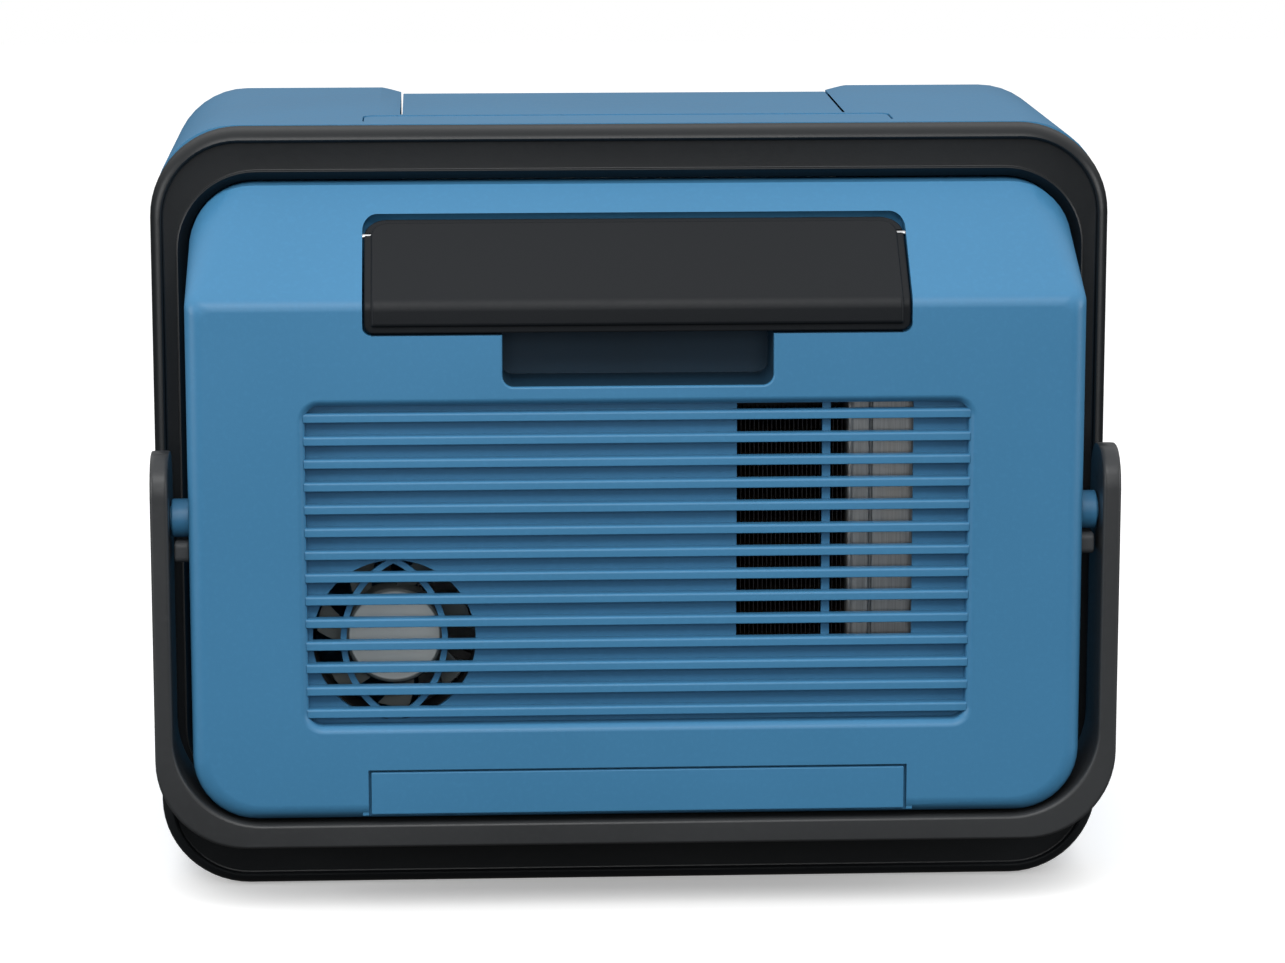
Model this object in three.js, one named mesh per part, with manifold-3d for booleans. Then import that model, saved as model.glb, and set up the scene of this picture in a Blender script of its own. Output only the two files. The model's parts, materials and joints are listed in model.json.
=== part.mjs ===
// Portable countertop ice maker, seen first from its service side.
// Millimetres, +Z up. The rear face looks along -Y; the lid and controls are at +Y.
// Inside this file Y is counted forward from the rear face; the last lines centre it.
import * as THREE from 'three';
import { mergeVertices } from 'three/addons/utils/BufferGeometryUtils.js';
import Module from 'manifold-3d';

const wasm = await Module();
wasm.setup();

// ---- driving dimensions ----
const WIDTH = 334;
const HEIGHT = 270;
const DEPTH = 236;
const WALL = 2.4;
const CORNER = 31;

const REAR = { half: 153.2, low: 36, high: 251, crease: 216, slantRun: 43, rLow: 22, rHigh: 22 };
const BAND = { from: 46, to: 60, lip: 4, inner: 0.8 };
const FRONT = { from: 60.4, low: 5, inset: 1, ridge: 193, slopeEnd: 196, slopeRun: 39 };
const LID = { rear: 94.8, room: 92, half: 79.6, sink: 2.4, thick: 7, end: 201.5, hingeY: 98, hingeZ: 263.2 };
const PANE = { half: 62, from: 12, to: 65, rim: 4, deep: 2.6 };
const GRILLE = { half: 115.8, low: 66.6, high: 183.4, corner: 7.6, slats: 14, pitch: 7.92, top: 178.2 };
const WINDOW = { left: 34, right: 94.6, low: 97.6, high: 180, barLeft: 63.3, barRight: 66.1 };
const FAN = { x: -83.6, z: 98.4, hole: 28, frame: 60, from: 12.4, to: 27.4, hub: 17, tip: 26.6, blades: 7 };
const GUARD = { shift: 13.8, outer: 32.4, inner: 30 };
const GRILLE_PLATE = { from: 6.4, to: 8.4 };
const HANDLE = { half: 166, arm: 6.2, low: 26, bar: 8.5, from: 1, to: 33, pivotZ: 139.8, over: 22.8 };
const FLAP = { half: 92.6, low: 205.6, along: 40.2, thick: 3, rLow: 2, rHigh: 7 };
const COVER = { half: 92, high: 53 };
const COMPRESSOR = { x: -2, y: 100, r: 34, low: 16.4, high: 110 };
const CONDENSER = { left: -34, right: 72, low: 92, high: 182, from: 15, to: 37 };
const LINER = { half: 76, wall: 2.2, rear: 100, step: 136, front: 218.4, low: 40, rim: 256 };
const TRAY = { y: 131, z: 196, r: 28, half: 62, wall: 2 };
const PANEL = { left: 96, right: 156, start: 12, end: 74 };

const slant = Math.atan2(REAR.high - REAR.crease, REAR.slantRun);
const slope = new THREE.Vector2(FRONT.slopeRun, FRONT.slopeEnd - HEIGHT).normalize();
const slopeOut = new THREE.Vector2(-slope.y, slope.x);
const pivotY = (HANDLE.from + HANDLE.to) / 2;

// ---- materials ----
const plastic = (color, roughness = 0.45) =>
  new THREE.MeshStandardMaterial({ color, roughness, metalness: 0 });
const metal = (color, roughness = 0.35) =>
  new THREE.MeshStandardMaterial({ color, roughness, metalness: 1 });
const MATERIAL = {
  blue: plastic(0x467a9e),
  black: plastic(0x181c20, 0.4),
  grey: plastic(0x4a4d50, 0.5),
  white: plastic(0xe8ebec, 0.4),
  clear: plastic(0xbcd0da, 0.1),
  rubber: plastic(0x141414, 0.85),
  board: plastic(0x1c5a38, 0.5),
  steel: metal(0xb9bcbe),
  aluminium: metal(0xa9abac, 0.4),
  copper: metal(0xb4673c, 0.3),
  shell: metal(0x1b1c1e, 0.5),
};

const root = new THREE.Group();

function place(name, geometry, material) {
  const mesh = new THREE.Mesh(geometry, material);
  mesh.name = name;
  root.add(mesh);
}

// ---- joining and cutting ----
function solidOf(geometry) {
  const bare = geometry.clone();
  bare.deleteAttribute('normal');
  bare.deleteAttribute('uv');
  const merged = mergeVertices(bare, 1e-4);
  return new wasm.Manifold(new wasm.Mesh({
    numProp: 3,
    vertProperties: new Float32Array(merged.attributes.position.array),
    triVerts: new Uint32Array(merged.index.array),
  }));
}

function geometryOf(solid) {
  const mesh = solid.getMesh();
  const geometry = new THREE.BufferGeometry();
  geometry.setAttribute('position', new THREE.BufferAttribute(mesh.vertProperties, 3));
  geometry.setIndex(new THREE.BufferAttribute(mesh.triVerts, 1));
  return geometry;
}

const join = (first, ...rest) =>
  geometryOf(rest.reduce((sum, piece) => sum.add(solidOf(piece)), solidOf(first)));
const cut = (first, ...rest) =>
  geometryOf(rest.reduce((sum, piece) => sum.subtract(solidOf(piece)), solidOf(first)));
const overlap = (first, ...rest) =>
  geometryOf(rest.reduce((sum, piece) => sum.intersect(solidOf(piece)), solidOf(first)));

// ---- basic shapes ----
function box(x0, x1, y0, y1, z0, z1) {
  const geometry = new THREE.BoxGeometry(x1 - x0, y1 - y0, z1 - z0);
  return geometry.translate((x0 + x1) / 2, (y0 + y1) / 2, (z0 + z1) / 2);
}

// A rectangle with its low and high corners rounded by their own radii.
function rounded(left, right, low, high, rLow, rHigh = rLow) {
  const shape = new THREE.Shape();
  shape.moveTo(left + rLow, low);
  shape.lineTo(right - rLow, low);
  shape.absarc(right - rLow, low + rLow, rLow, -Math.PI / 2, 0);
  shape.absarc(right - rHigh, high - rHigh, rHigh, 0, Math.PI / 2);
  shape.absarc(left + rHigh, high - rHigh, rHigh, Math.PI / 2, Math.PI);
  shape.absarc(left + rLow, low + rLow, rLow, Math.PI, Math.PI * 1.5);
  return shape;
}

function polygon(points) {
  return new THREE.Shape(points.map(([a, b]) => new THREE.Vector2(a, b)));
}

const extrude = (shape, depth, segments) =>
  new THREE.ExtrudeGeometry(shape, { depth, bevelEnabled: false, curveSegments: segments });

// A shape drawn in X and Z, run along Y.
const alongY = (shape, y0, y1, segments = 6) =>
  extrude(shape, y1 - y0, segments).rotateX(Math.PI / 2).translate(0, y1, 0);

// A shape drawn in Y and Z, run along X.
function alongX(shape, x0, x1, segments = 6) {
  const turn = new THREE.Matrix4().makeBasis(
    new THREE.Vector3(0, 1, 0), new THREE.Vector3(0, 0, 1), new THREE.Vector3(1, 0, 0));
  return extrude(shape, x1 - x0, segments).applyMatrix4(turn).translate(x0, 0, 0);
}

// A shape drawn in X and Y, run along Z.
const alongZ = (shape, z0, z1, segments = 6) => extrude(shape, z1 - z0, segments).translate(0, 0, z0);

const rodX = (r, x0, x1, y, z, sides = 16) =>
  new THREE.CylinderGeometry(r, r, x1 - x0, sides).rotateZ(Math.PI / 2).translate((x0 + x1) / 2, y, z);
const rodY = (r, x, y0, y1, z, sides = 16) =>
  new THREE.CylinderGeometry(r, r, y1 - y0, sides).translate(x, (y0 + y1) / 2, z);
const rodZ = (r, x, y, z0, z1, sides = 16) =>
  new THREE.CylinderGeometry(r, r, z1 - z0, sides).rotateX(Math.PI / 2).translate(x, y, (z0 + z1) / 2);

function pipe(points, r, steps, sides = 8) {
  const section = new THREE.Shape();
  for (let i = 0; i < sides; i += 1) {
    const a = (i / sides) * Math.PI * 2;
    section[i === 0 ? 'moveTo' : 'lineTo'](Math.cos(a) * r, Math.sin(a) * r);
  }
  const path = new THREE.CatmullRomCurve3(points.map((p) => new THREE.Vector3(...p)), false, 'centripetal');
  return new THREE.ExtrudeGeometry(section, { steps, extrudePath: path, bevelEnabled: false });
}

// A point on the slanted top of the rear shell: distance up from the crease, depth below the skin.
const onSlant = (along, depth = 0) => [
  along * Math.cos(slant) + depth * Math.sin(slant),
  REAR.crease + along * Math.sin(slant) - depth * Math.cos(slant),
];

// A point on the sloped front: distance down from the ridge, depth below the skin.
const onSlope = (along, depth = 0) => [
  FRONT.ridge + slope.x * along - slopeOut.x * depth,
  HEIGHT + slope.y * along - slopeOut.y * depth,
];

// The point of the sloped front that lies at one height, a depth below the skin.
function slopeAt(z, depth) {
  const [y0, z0] = onSlope(0, depth);
  return [y0 + (slope.x * (z - z0)) / slope.y, z];
}

// A shape drawn across and down the sloped front, run from one depth below the skin to another.
function throughSlope(shape, shallow, deep, segments = 6) {
  const turn = new THREE.Matrix4().makeBasis(new THREE.Vector3(1, 0, 0),
    new THREE.Vector3(0, slope.x, slope.y), new THREE.Vector3(0, slopeOut.x, slopeOut.y));
  return extrude(shape, deep - shallow, segments).applyMatrix4(turn).translate(0, ...onSlope(0, deep));
}

// ---- outer casing ----
function rearForm(inset, back, front) {
  const outline = rounded(-REAR.half + inset, REAR.half - inset, REAR.low + inset, REAR.high - inset,
    REAR.rLow - inset, REAR.rHigh - inset);
  const side = polygon([
    [back + 3, REAR.low - 1], [back, REAR.low + 4], [back, onSlant(0, inset)[1] - back * 0.4],
    onSlant(56, inset), [front, REAR.high + 9], [front, REAR.low - 1],
  ]);
  return overlap(alongY(outline, back, front), alongX(side, -REAR.half, REAR.half));
}

function rearShell() {
  const skin = cut(rearForm(0, 0, 58), rearForm(WALL, WALL, 60));
  const flapSeat = polygon([
    [-5, FLAP.low - 0.9], [38, FLAP.low - 0.9], [38, 232], onSlant(43, 6), onSlant(43, -9), [-5, 228],
  ]);
  const seatRoom = overlap(alongX(flapSeat, -FLAP.half - 1.2, FLAP.half + 1.2), flapView(1.1),
    rearForm(-1, -1, 60));
  const seatWall = overlap(
    alongX(polygon([[1, 203], [40.4, 203], [40.4, 241], [36, 246], [1, 218]]), -97, 97),
    rearForm(0.2, 0.2, 58));
  const pocketWall = box(-49.4, 49.4, 1, 30, 184.4, 206);
  const pocketRoom = alongY(rounded(-46.6, 46.6, 186.8, 215, 4), -2, 27.6, 4);
  const drainWall = box(-95, 95, 1, 20, 36.6, 56);
  const drainRoom = box(-COVER.half + 3, COVER.half - 3, -2, 17.6, 39, COVER.high - 3);
  const coverSeat = box(-COVER.half - 0.9, COVER.half + 0.9, -2, 3, 37.2, COVER.high + 0.9);
  const grilleHole = alongY(
    rounded(-GRILLE.half, GRILLE.half, GRILLE.low, GRILLE.high, GRILLE.corner), -2, 4, 4);
  const drainBore = rodY(4.6, -60, 15, 25, 44.5);
  const cordBore = rodX(4, -100, -90, 30, 214);
  const [pinY, pinZ] = flapAxis();
  const pinBores = [-96.4, 93].map((x) => rodX(1.3, x, x + 3.4, pinY, pinZ, 12));
  return cut(join(skin, seatWall, pocketWall, drainWall),
    seatRoom, pocketRoom, drainRoom, coverSeat, grilleHole, drainBore, cordBore, ...pinBores);
}

// Back plate with its fan hole and condenser window, framed and crossed by the slats.
function rearGrille() {
  const edge = 0.5;
  const outline = rounded(-GRILLE.half + edge, GRILLE.half - edge, GRILLE.low + edge,
    GRILLE.high - edge, GRILLE.corner);
  const room = rounded(-GRILLE.half + 3, GRILLE.half - 3, GRILLE.low + 3, GRILLE.high - 3, 5);
  const { from, to } = GRILLE_PLATE;
  const tray = cut(
    alongY(outline, 0.6, 11.4, 4), alongY(room, -1, from, 4), alongY(room, to, 12, 4));
  const fanHole = rodY(FAN.hole, FAN.x, 5, 14, FAN.z, 32);
  const openings = [
    fanHole,
    box(WINDOW.left, WINDOW.barLeft, 5, 14, WINDOW.low, WINDOW.high),
    box(WINDOW.barRight, WINDOW.right, 5, 14, WINDOW.low, WINDOW.high),
  ];
  const slats = [];
  for (let i = 0; i < GRILLE.slats; i += 1) {
    const top = GRILLE.top - i * GRILLE.pitch;
    slats.push(box(-GRILLE.half + 2, GRILLE.half - 2, 1.6, 5, top - 3.4, top));
  }
  const guard = [-1, 1].map((side) => {
    const centre = FAN.x + side * GUARD.shift;
    const ring = cut(
      rodY(GUARD.outer, centre, from + 0.2, to - 0.2, FAN.z, 40),
      rodY(GUARD.inner, centre, from - 1, to + 1, FAN.z, 40));
    return overlap(ring, rodY(FAN.hole + 1, FAN.x, from - 1, to + 1, FAN.z, 32));
  });
  return join(cut(tray, ...openings), ...slats, ...guard);
}

function frameBand() {
  const half = WIDTH / 2;
  const step = BAND.lip / 2;
  const layers = [
    [0, BAND.from + step, BAND.to - step],
    [step * 0.6, BAND.from, BAND.to],
  ].map(([inset, y0, y1]) => alongY(
    rounded(-half + inset, half - inset, inset, HEIGHT - inset, CORNER - inset), y0, y1, 8));
  const clear = BAND.inner;
  const hole = rounded(-REAR.half - clear, REAR.half + clear, REAR.low - clear, REAR.high + 3.6,
    REAR.rLow, REAR.rHigh + 3);
  return cut(join(...layers), alongY(hole, BAND.from - 1, BAND.to + 1));
}

function frontForm(inset, back) {
  const half = WIDTH / 2 - FRONT.inset - inset;
  const low = FRONT.low + inset;
  const outline = rounded(-half, half, low, HEIGHT - inset, 18, CORNER - 3 - inset / 2);
  const front = DEPTH - inset;
  const side = polygon([
    [back, low - 1], [front - 9, low - 1], [front - 2.6, low + 3], [front, low + 9],
    slopeAt(FRONT.slopeEnd, inset).map((v, i) => (i ? v - 14 : front)),
    slopeAt(FRONT.slopeEnd, inset),
    slopeAt(HEIGHT - 7 - inset, inset), [FRONT.ridge - 5, HEIGHT + 1 - inset], [back, HEIGHT + 1 - inset],
  ]);
  const plan = rounded(-half, half, back, front, 0.01, 26 - inset / 2);
  return overlap(alongY(outline, back, front, 7), alongX(side, -half, half), alongZ(plan, 0, HEIGHT));
}

function frontShell() {
  const skin = cut(frontForm(0, FRONT.from), frontForm(WALL, FRONT.from - 4));
  const channel = alongY(polygon([[-91, HEIGHT + 1], [-80.4, HEIGHT - LID.sink], [-80.4, 190],
    [80.4, 190], [80.4, HEIGHT - LID.sink], [91, HEIGHT + 1]]), LID.room, DEPTH + 1);
  const lidRoom = alongX(polygon([[80, 230], [80, 300], [300, 300], [300, LID.end - 1.2],
    [180, LID.end - 1.2]]), -100, 100);
  const cheeks = [-1, 1].map((side) => {
    const x = side * 83.4;
    return box(x - 2.4, x + 2.4, 90, 104, 256.4, 268);
  });
  const gutter = box(-84, 84, 89.6, LID.room, 256.4, 268);
  const stripSeat = box(-93.4, 93.4, 67, 89.6, HEIGHT - 1.6, HEIGHT + 1);
  const pinBores = [-1, 1].map((side) =>
    rodX(1.9, side > 0 ? 79 : -84, side > 0 ? 84 : -79, LID.hingeY, LID.hingeZ));
  const panelSeat = alongX(polygon([onSlope(PANEL.start - 1, 0.9), onSlope(PANEL.start - 1, -4),
    onSlope(PANEL.end + 1, -4), onSlope(PANEL.end + 1, 0.9)]), PANEL.left - 0.5, PANEL.right + 0.5);
  const stems = buttonPlaces().map(([x, along]) => slopeRod(5.2, x, along, -2, 8));
  const floorHole = alongZ(rounded(-150, 150, FRONT.from - 10, DEPTH - 16, 0.01, 14), 0, 9);
  return cut(join(cut(skin, overlap(channel, lidRoom)), ...cheeks, gutter),
    ...pinBores, stripSeat, panelSeat, ...stems, floorHole);
}

// A round rod whose axis is square to the sloped front.
function slopeRod(r, x, along, from, to, sides = 16) {
  const rod = new THREE.CylinderGeometry(r, r, to - from, sides);
  rod.rotateX(Math.atan2(slopeOut.y, slopeOut.x));
  const [y, z] = onSlope(along, (from + to) / 2);
  return rod.translate(x, y, z);
}

function buttonPlaces() {
  const x = (PANEL.left + PANEL.right) / 2;
  return [[x - 15, 58], [x + 15, 58], [x, 38]];
}

function controlPanel() {
  const plate = alongX(polygon([onSlope(PANEL.start, 0.5), onSlope(PANEL.start, -1),
    onSlope(PANEL.end, -1), onSlope(PANEL.end, 0.5)]), PANEL.left, PANEL.right);
  return cut(plate, ...buttonPlaces().map(([x, along]) => slopeRod(6.4, x, along, -4, 4)));
}

const button = ([x, along]) => join(
  slopeRod(6, x, along, -3, -0.5, 20), slopeRod(4.6, x, along, -0.6, 4.4));

const baseTray = () => cut(
  join(
    alongZ(rounded(-149, 149, FRONT.from + 3, DEPTH - 17, 0.01, 13), 6, 9),
    box(-149, 149, FRONT.from + 3, FRONT.from + 5, 6, 34)),
  ...[-100, -50, 50, 100].map((x) => box(x - 14, x + 14, 200, 206, 5, 10)));

const foot = (x, y) => join(rodZ(10, x, y, 0, 4.6, 20), rodZ(5, x, y, 4.5, 5.7, 12));

function bottomCover() {
  const plate = box(-COVER.half, COVER.half, 0, 2.6, 38.2, COVER.high);
  const clips = [-62, 62].map((x) => box(x - 6, x + 6, 2.5, 9, 41, 43));
  return join(plate, ...clips);
}

// ---- carry handle ----
function carryHandle() {
  const inner = HANDLE.half - HANDLE.arm;
  const top = HANDLE.pivotZ + HANDLE.over;
  const outline = rounded(-HANDLE.half, HANDLE.half, HANDLE.low, top + 60, CORNER, 1);
  const room = rounded(-inner, inner, HANDLE.low + HANDLE.bar, top + 80, CORNER, 1);
  const strap = cut(alongY(outline, HANDLE.from, HANDLE.to, 8), alongY(room, -5, 50, 8));
  const sideView = rounded(HANDLE.from, HANDLE.to, HANDLE.low - 1, top, 0.01, 13);
  const trimmed = overlap(strap, alongX(sideView, -WIDTH, WIDTH, 6));
  const bores = [-1, 1].map((side) =>
    rodX(4.4, side > 0 ? inner - 1 : -inner - 3.6, side > 0 ? inner + 3.6 : -inner + 1,
      pivotY, HANDLE.pivotZ, 20));
  return cut(trimmed, ...bores);
}

// Collar on the shell and the journal that the handle turns on.
function handlePivot(side) {
  const inner = HANDLE.half - HANDLE.arm;
  const wall = REAR.half + 0.3;
  const collar = rodX(6.6, wall, inner - 0.4, pivotY, HANDLE.pivotZ, 20);
  const journal = rodX(4.1, inner - 1, inner + 3.2, pivotY, HANDLE.pivotZ, 20);
  const whole = join(collar, journal);
  return side > 0 ? whole : whole.rotateZ(Math.PI).translate(0, 2 * pivotY, 0);
}

const handleBumper = (side) => {
  const [x0, x1] = [REAR.half + 0.3, HANDLE.half - HANDLE.arm - 1.2].map((v) => v * side);
  return box(Math.min(x0, x1), Math.max(x0, x1), 12, 24, 124.8, 132.2);
};

// ---- rear flap over the inlet ----
function rearFlap() {
  const t = FLAP.thick;
  const side = polygon([[0, FLAP.low], [t, FLAP.low], onSlant(1, t), onSlant(FLAP.along - 6, t),
    onSlant(FLAP.along, t - 0.6), onSlant(FLAP.along, 0.4), onSlant(FLAP.along - 0.6, 0), [0, REAR.crease]]);
  const leaf = overlap(alongX(side, -FLAP.half, FLAP.half), flapView(0));
  const [y, z] = flapAxis();
  const barrel = [-1, 1].map((s) => rodX(2.3, s > 0 ? 78 : -FLAP.half, s > 0 ? FLAP.half : -78, y, z));
  const bores = [-1, 1].map((s) => rodX(1.3, s > 0 ? 84 : -95, s > 0 ? 95 : -84, y, z, 12));
  const pull = box(-40, 40, t - 0.2, t + 3, FLAP.low, FLAP.low + 1.6);
  return cut(join(leaf, ...barrel, pull), ...bores);
}

// The flap's outline seen from behind, grown by a margin.
const flapView = (grow) => alongY(rounded(-FLAP.half - grow, FLAP.half + grow, FLAP.low - grow,
  onSlant(FLAP.along)[1] + grow * 2, FLAP.rLow + grow, FLAP.rHigh), -6, 60, 4);

const flapAxis = () => onSlant(FLAP.along - 7, 2.3);

function flapPin(side) {
  const [y, z] = flapAxis();
  return rodX(1, side > 0 ? 84.5 : -96, side > 0 ? 96 : -84.5, y, z, 12);
}

function powerInlet() {
  const body = join(box(-14, 14, 24, 36, 208.6, 224), box(-17, 17, 35, 37, 207.2, 226));
  const well = alongY(rounded(-9, 9, 212, 220.6, 3), 22, 33, 4);
  const blades = [-4.5, 4.5].map((x) => rodY(1.1, x, 26, 34, 216.3, 10));
  return join(cut(body, well), ...blades);
}

// ---- lid ----
function lidFrame() {
  const { sink, thick, rear, end, half } = LID;
  const top = HEIGHT - sink;
  const side = polygon([
    [rear, top - thick + 1.5], [rear + 1.5, top - thick], slopeAt(top - thick, sink + thick),
    slopeAt(end, sink + thick), [slopeAt(end, 0)[0] + 2.6, end], [slopeAt(end, 0)[0] + 2.6, end + 2.2],
    slopeAt(end + 5, sink), slopeAt(top - 2.4, sink), [slopeAt(top, sink)[0] - 2, top],
    [rear + 1.5, top], [rear, top - 1.5],
  ]);
  const leaf = alongX(side, -half, half);
  const { half: w, from, to, rim, deep } = PANE;
  const view = throughSlope(rounded(-w, w, from, to, 8), sink - 4, sink + thick + 4, 4);
  const rebate = throughSlope(
    rounded(-w - rim, w + rim, from - rim, to + rim, 10), sink - 4, sink + deep, 4);
  const bores = [-1, 1].map((s) =>
    rodX(1.9, s > 0 ? 70 : -81, s > 0 ? 81 : -70, LID.hingeY, LID.hingeZ));
  return cut(leaf, view, rebate, ...bores);
}

function lidWindow() {
  const { half: w, from, to, rim, deep } = PANE;
  const outer = rim - 0.4;
  return join(
    throughSlope(rounded(-w - outer, w + outer, from - outer, to + outer, 9.6),
      LID.sink + 0.2, LID.sink + deep - 0.3, 4),
    throughSlope(rounded(-w + 0.4, w - 0.4, from + 0.4, to - 0.4, 7.6),
      LID.sink + deep - 0.4, LID.sink + 5.6, 4));
}

const lidPin = (side) =>
  rodX(1.5, side > 0 ? 70.6 : -83.4, side > 0 ? 83.4 : -70.6, LID.hingeY, LID.hingeZ, 12);

const topStrip = () => alongZ(rounded(-93, 93, 67.4, 89.2, 4), HEIGHT - 2.2, HEIGHT - 1.2, 4)
  .translate(0, 0, 0.9);

// ---- ice making ----
function innerLiner() {
  const { half, wall, rear, step, front, low, rim } = LINER;
  const outer = polygon([[rear, rim], slopeAt(rim, 12), slopeAt(FRONT.slopeEnd, 12), [front, low],
    [step, low], [step, 148], [rear, 158]]);
  const inner = polygon([[rear + wall, 159.6], [rear + wall, 300], [300, 300], [300, FRONT.slopeEnd + 0.5],
    [front - wall, FRONT.slopeEnd + 0.5], [front - wall, low + wall], [step + wall, low + wall],
    [step + wall, 149.4]]);
  const spout = rodX(3.6, half - 5, half + 5, TRAY.y + 20, 228, 12);
  const trunnions = rodX(3.6, -half - 5, half + 5, TRAY.y, TRAY.z, 12);
  const sump = rodZ(4.4, 60, 176, low - 3, low + 5, 12);
  const drain = rodZ(4.4, -60, 150, low - 3, low + 5, 12);
  const flange = alongX(polygon([[rear, rim], slopeAt(rim, 12), slopeAt(FRONT.slopeEnd, 12),
    slopeAt(FRONT.slopeEnd, 14), slopeAt(rim - 2, 14), [rear, rim - 2]].reverse()), -half - 4.4, half + 4.4);
  return cut(join(alongX(outer, -half, half), flange), alongX(inner, -half + wall, half - wall),
    spout, trunnions, sump, drain);
}

function iceBasket() {
  const tub = cut(
    alongX(polygon([[143, 66], [208, 66], [212, 158], [140, 158]]), -70, 70),
    alongX(polygon([[145, 68], [206, 68], [210.2, 160], [141.8, 160]]), -68.2, 68.2));
  const slots = [];
  for (let x = -54; x <= 54; x += 18) {
    slots.push(box(x - 3, x + 3, 130, 220, 86, 140));
    slots.push(box(x - 3, x + 3, 152, 198, 60, 70));
  }
  return cut(tub, ...slots);
}

function evaporator() {
  const plate = box(-56, 56, TRAY.y - 13, TRAY.y + 13, 203, 209);
  const fingers = [];
  for (let i = 0; i < 9; i += 1) {
    const x = -48 + i * 12;
    const y = TRAY.y + (i % 2 ? 8 : -8);
    fingers.push(new THREE.LatheGeometry([[0, 177], [2.6, 178], [4.2, 181], [4.4, 204], [0, 204]]
      .map(([r, z]) => new THREE.Vector2(r, z)), 8).rotateX(Math.PI / 2).translate(x, y, 0));
  }
  const tube = rodX(4, -54, 54, TRAY.y, 210.5, 10);
  const hangers = [-40, 40].map((x) => box(x - 5, x + 5, TRAY.y - 2, TRAY.y + 2, 208, 246));
  const rail = box(-72.6, 72.6, TRAY.y - 4, TRAY.y + 4, 244, 248);
  return join(plate, ...fingers, tube, ...hangers, rail);
}

function waterTray() {
  const { y, z, r, half, wall } = TRAY;
  const lower = box(-80, 80, y - 40, y + 40, z - 40, z);
  const trough = cut(rodX(r, -half, half, y, z, 32), rodX(r - wall, -half + wall, half - wall, y, z, 32));
  const axles = rodX(3.1, -half - 12, half + 15, y, z, 12);
  const hubs = [-half, half].map((x) => rodX(6, x - 1.6, x + 1.6, y, z, 16));
  const core = rodX(8, -half + wall, half - wall, y, z, 16);
  return join(overlap(trough, lower), ...hubs.map((hub) => cut(hub, core)), cut(axles, core));
}

const trayMotor = () => cut(join(
  rodX(14, LINER.half + 3.4, LINER.half + 19, TRAY.y, TRAY.z, 20),
  box(LINER.half + 3.4, LINER.half + 6, TRAY.y - 22, TRAY.y + 22, TRAY.z - 6, TRAY.z + 6),
  box(LINER.half + 6, LINER.half + 16, TRAY.y - 9, TRAY.y + 9, TRAY.z - 20, TRAY.z)),
rodX(3.5, LINER.half + 2, LINER.half + 4.4, TRAY.y, TRAY.z, 12));

const iceSensor = (side) => {
  const wall = LINER.half - LINER.wall - 0.4;
  const [x0, x1] = [wall - 4, wall].map((v) => v * side);
  return box(Math.min(x0, x1), Math.max(x0, x1), 178, 192, 166, 180);
};

// ---- refrigeration ----
function compressor() {
  const { x, y, r, low, high } = COMPRESSOR;
  const mid = (low + high) / 2;
  const profile = [[0, low], [r * 0.62, low], [r * 0.9, low + 9], [r - 1, low + 18], [r - 1, mid - 3],
    [r, mid - 3], [r, mid + 3], [r - 1, mid + 3], [r - 1, high - 18], [r * 0.86, high - 7],
    [r * 0.5, high - 1], [0, high]];
  const can = new THREE.LatheGeometry(profile.map(([a, b]) => new THREE.Vector2(a, b)), 20)
    .rotateX(Math.PI / 2).translate(x, y, 0);
  const legs = grommetPlaces().map(([gx, gy]) =>
    box(Math.min(x, gx) - 7, Math.max(x, gx) + 7, gy - 7, gy + 7, low, low + 2.2));
  const bores = grommetPlaces().map(([gx, gy]) => rodZ(3.4, gx, gy, low - 2, low + 5, 12));
  const feet = overlap(join(...legs), rodZ(r + 12, x, y, low - 1, low + 4, 24));
  return cut(join(can, feet), ...bores);
}

function grommetPlaces() {
  const { x, y, r } = COMPRESSOR;
  return [[x - r * 0.98, y + 22], [x + r * 0.98, y + 22], [x - r * 0.98, y - 22], [x + r * 0.98, y - 22]];
}

const grommet = ([x, y]) => join(
  rodZ(6, x, y, 9.3, COMPRESSOR.low - 0.3, 16),
  rodZ(3, x, y, COMPRESSOR.low - 0.4, COMPRESSOR.low + 2.6, 12),
  rodZ(5, x, y, COMPRESSOR.low + 2.5, COMPRESSOR.low + 4.4, 16));

const terminalCover = () => {
  const { x, y, r } = COMPRESSOR;
  return box(x - 12, x + 12, y - r - 10, y - r - 0.6, 50, 76);
};

function condenserCore() {
  const { left, right, low, high, from, to } = CONDENSER;
  const core = box(left, right, from + 2, to - 2, low, high);
  const tubes = [];
  for (let z = high - 6; z > low; z -= 8.4) {
    tubes.push(box(left, right, from, to, z - 0.9, z + 0.9));
  }
  return join(core, ...tubes);
}

function condenserHeader(side) {
  const { left, right, low, high, from, to } = CONDENSER;
  const x0 = side > 0 ? right + 0.4 : left - 8.4;
  const width = side > 0 ? 28 : 8;
  return alongZ(rounded(x0, x0 + width, from - 1, to + 1, 3), low - 1.6, high + 1.6, 3);
}

function fanFrame() {
  const half = FAN.frame / 2;
  const outline = rounded(FAN.x - half, FAN.x + half, FAN.z - half, FAN.z + half, 4);
  const plate = alongY(outline, FAN.from, FAN.to, 4);
  const bore = rodY(FAN.hole + 0.2, FAN.x, FAN.from - 1, FAN.to + 1, FAN.z, 36);
  const boss = rodY(15, FAN.x, FAN.to - 3, FAN.to, FAN.z, 20);
  const struts = [0, 1, 2].map((i) => {
    const strut = box(0, FAN.hole + 1, FAN.to - 3, FAN.to, -1.6, 1.6);
    return strut.rotateY(i * (Math.PI * 2) / 3 + 0.4).translate(FAN.x, 0, FAN.z);
  });
  const screws = [[-25, -25], [25, -25], [-25, 25], [25, 25]].map(([x, z]) =>
    rodY(2, FAN.x + x, FAN.from - 1, FAN.to + 1, FAN.z + z, 10));
  return cut(join(cut(plate, bore), boss, ...struts), ...screws);
}

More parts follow.
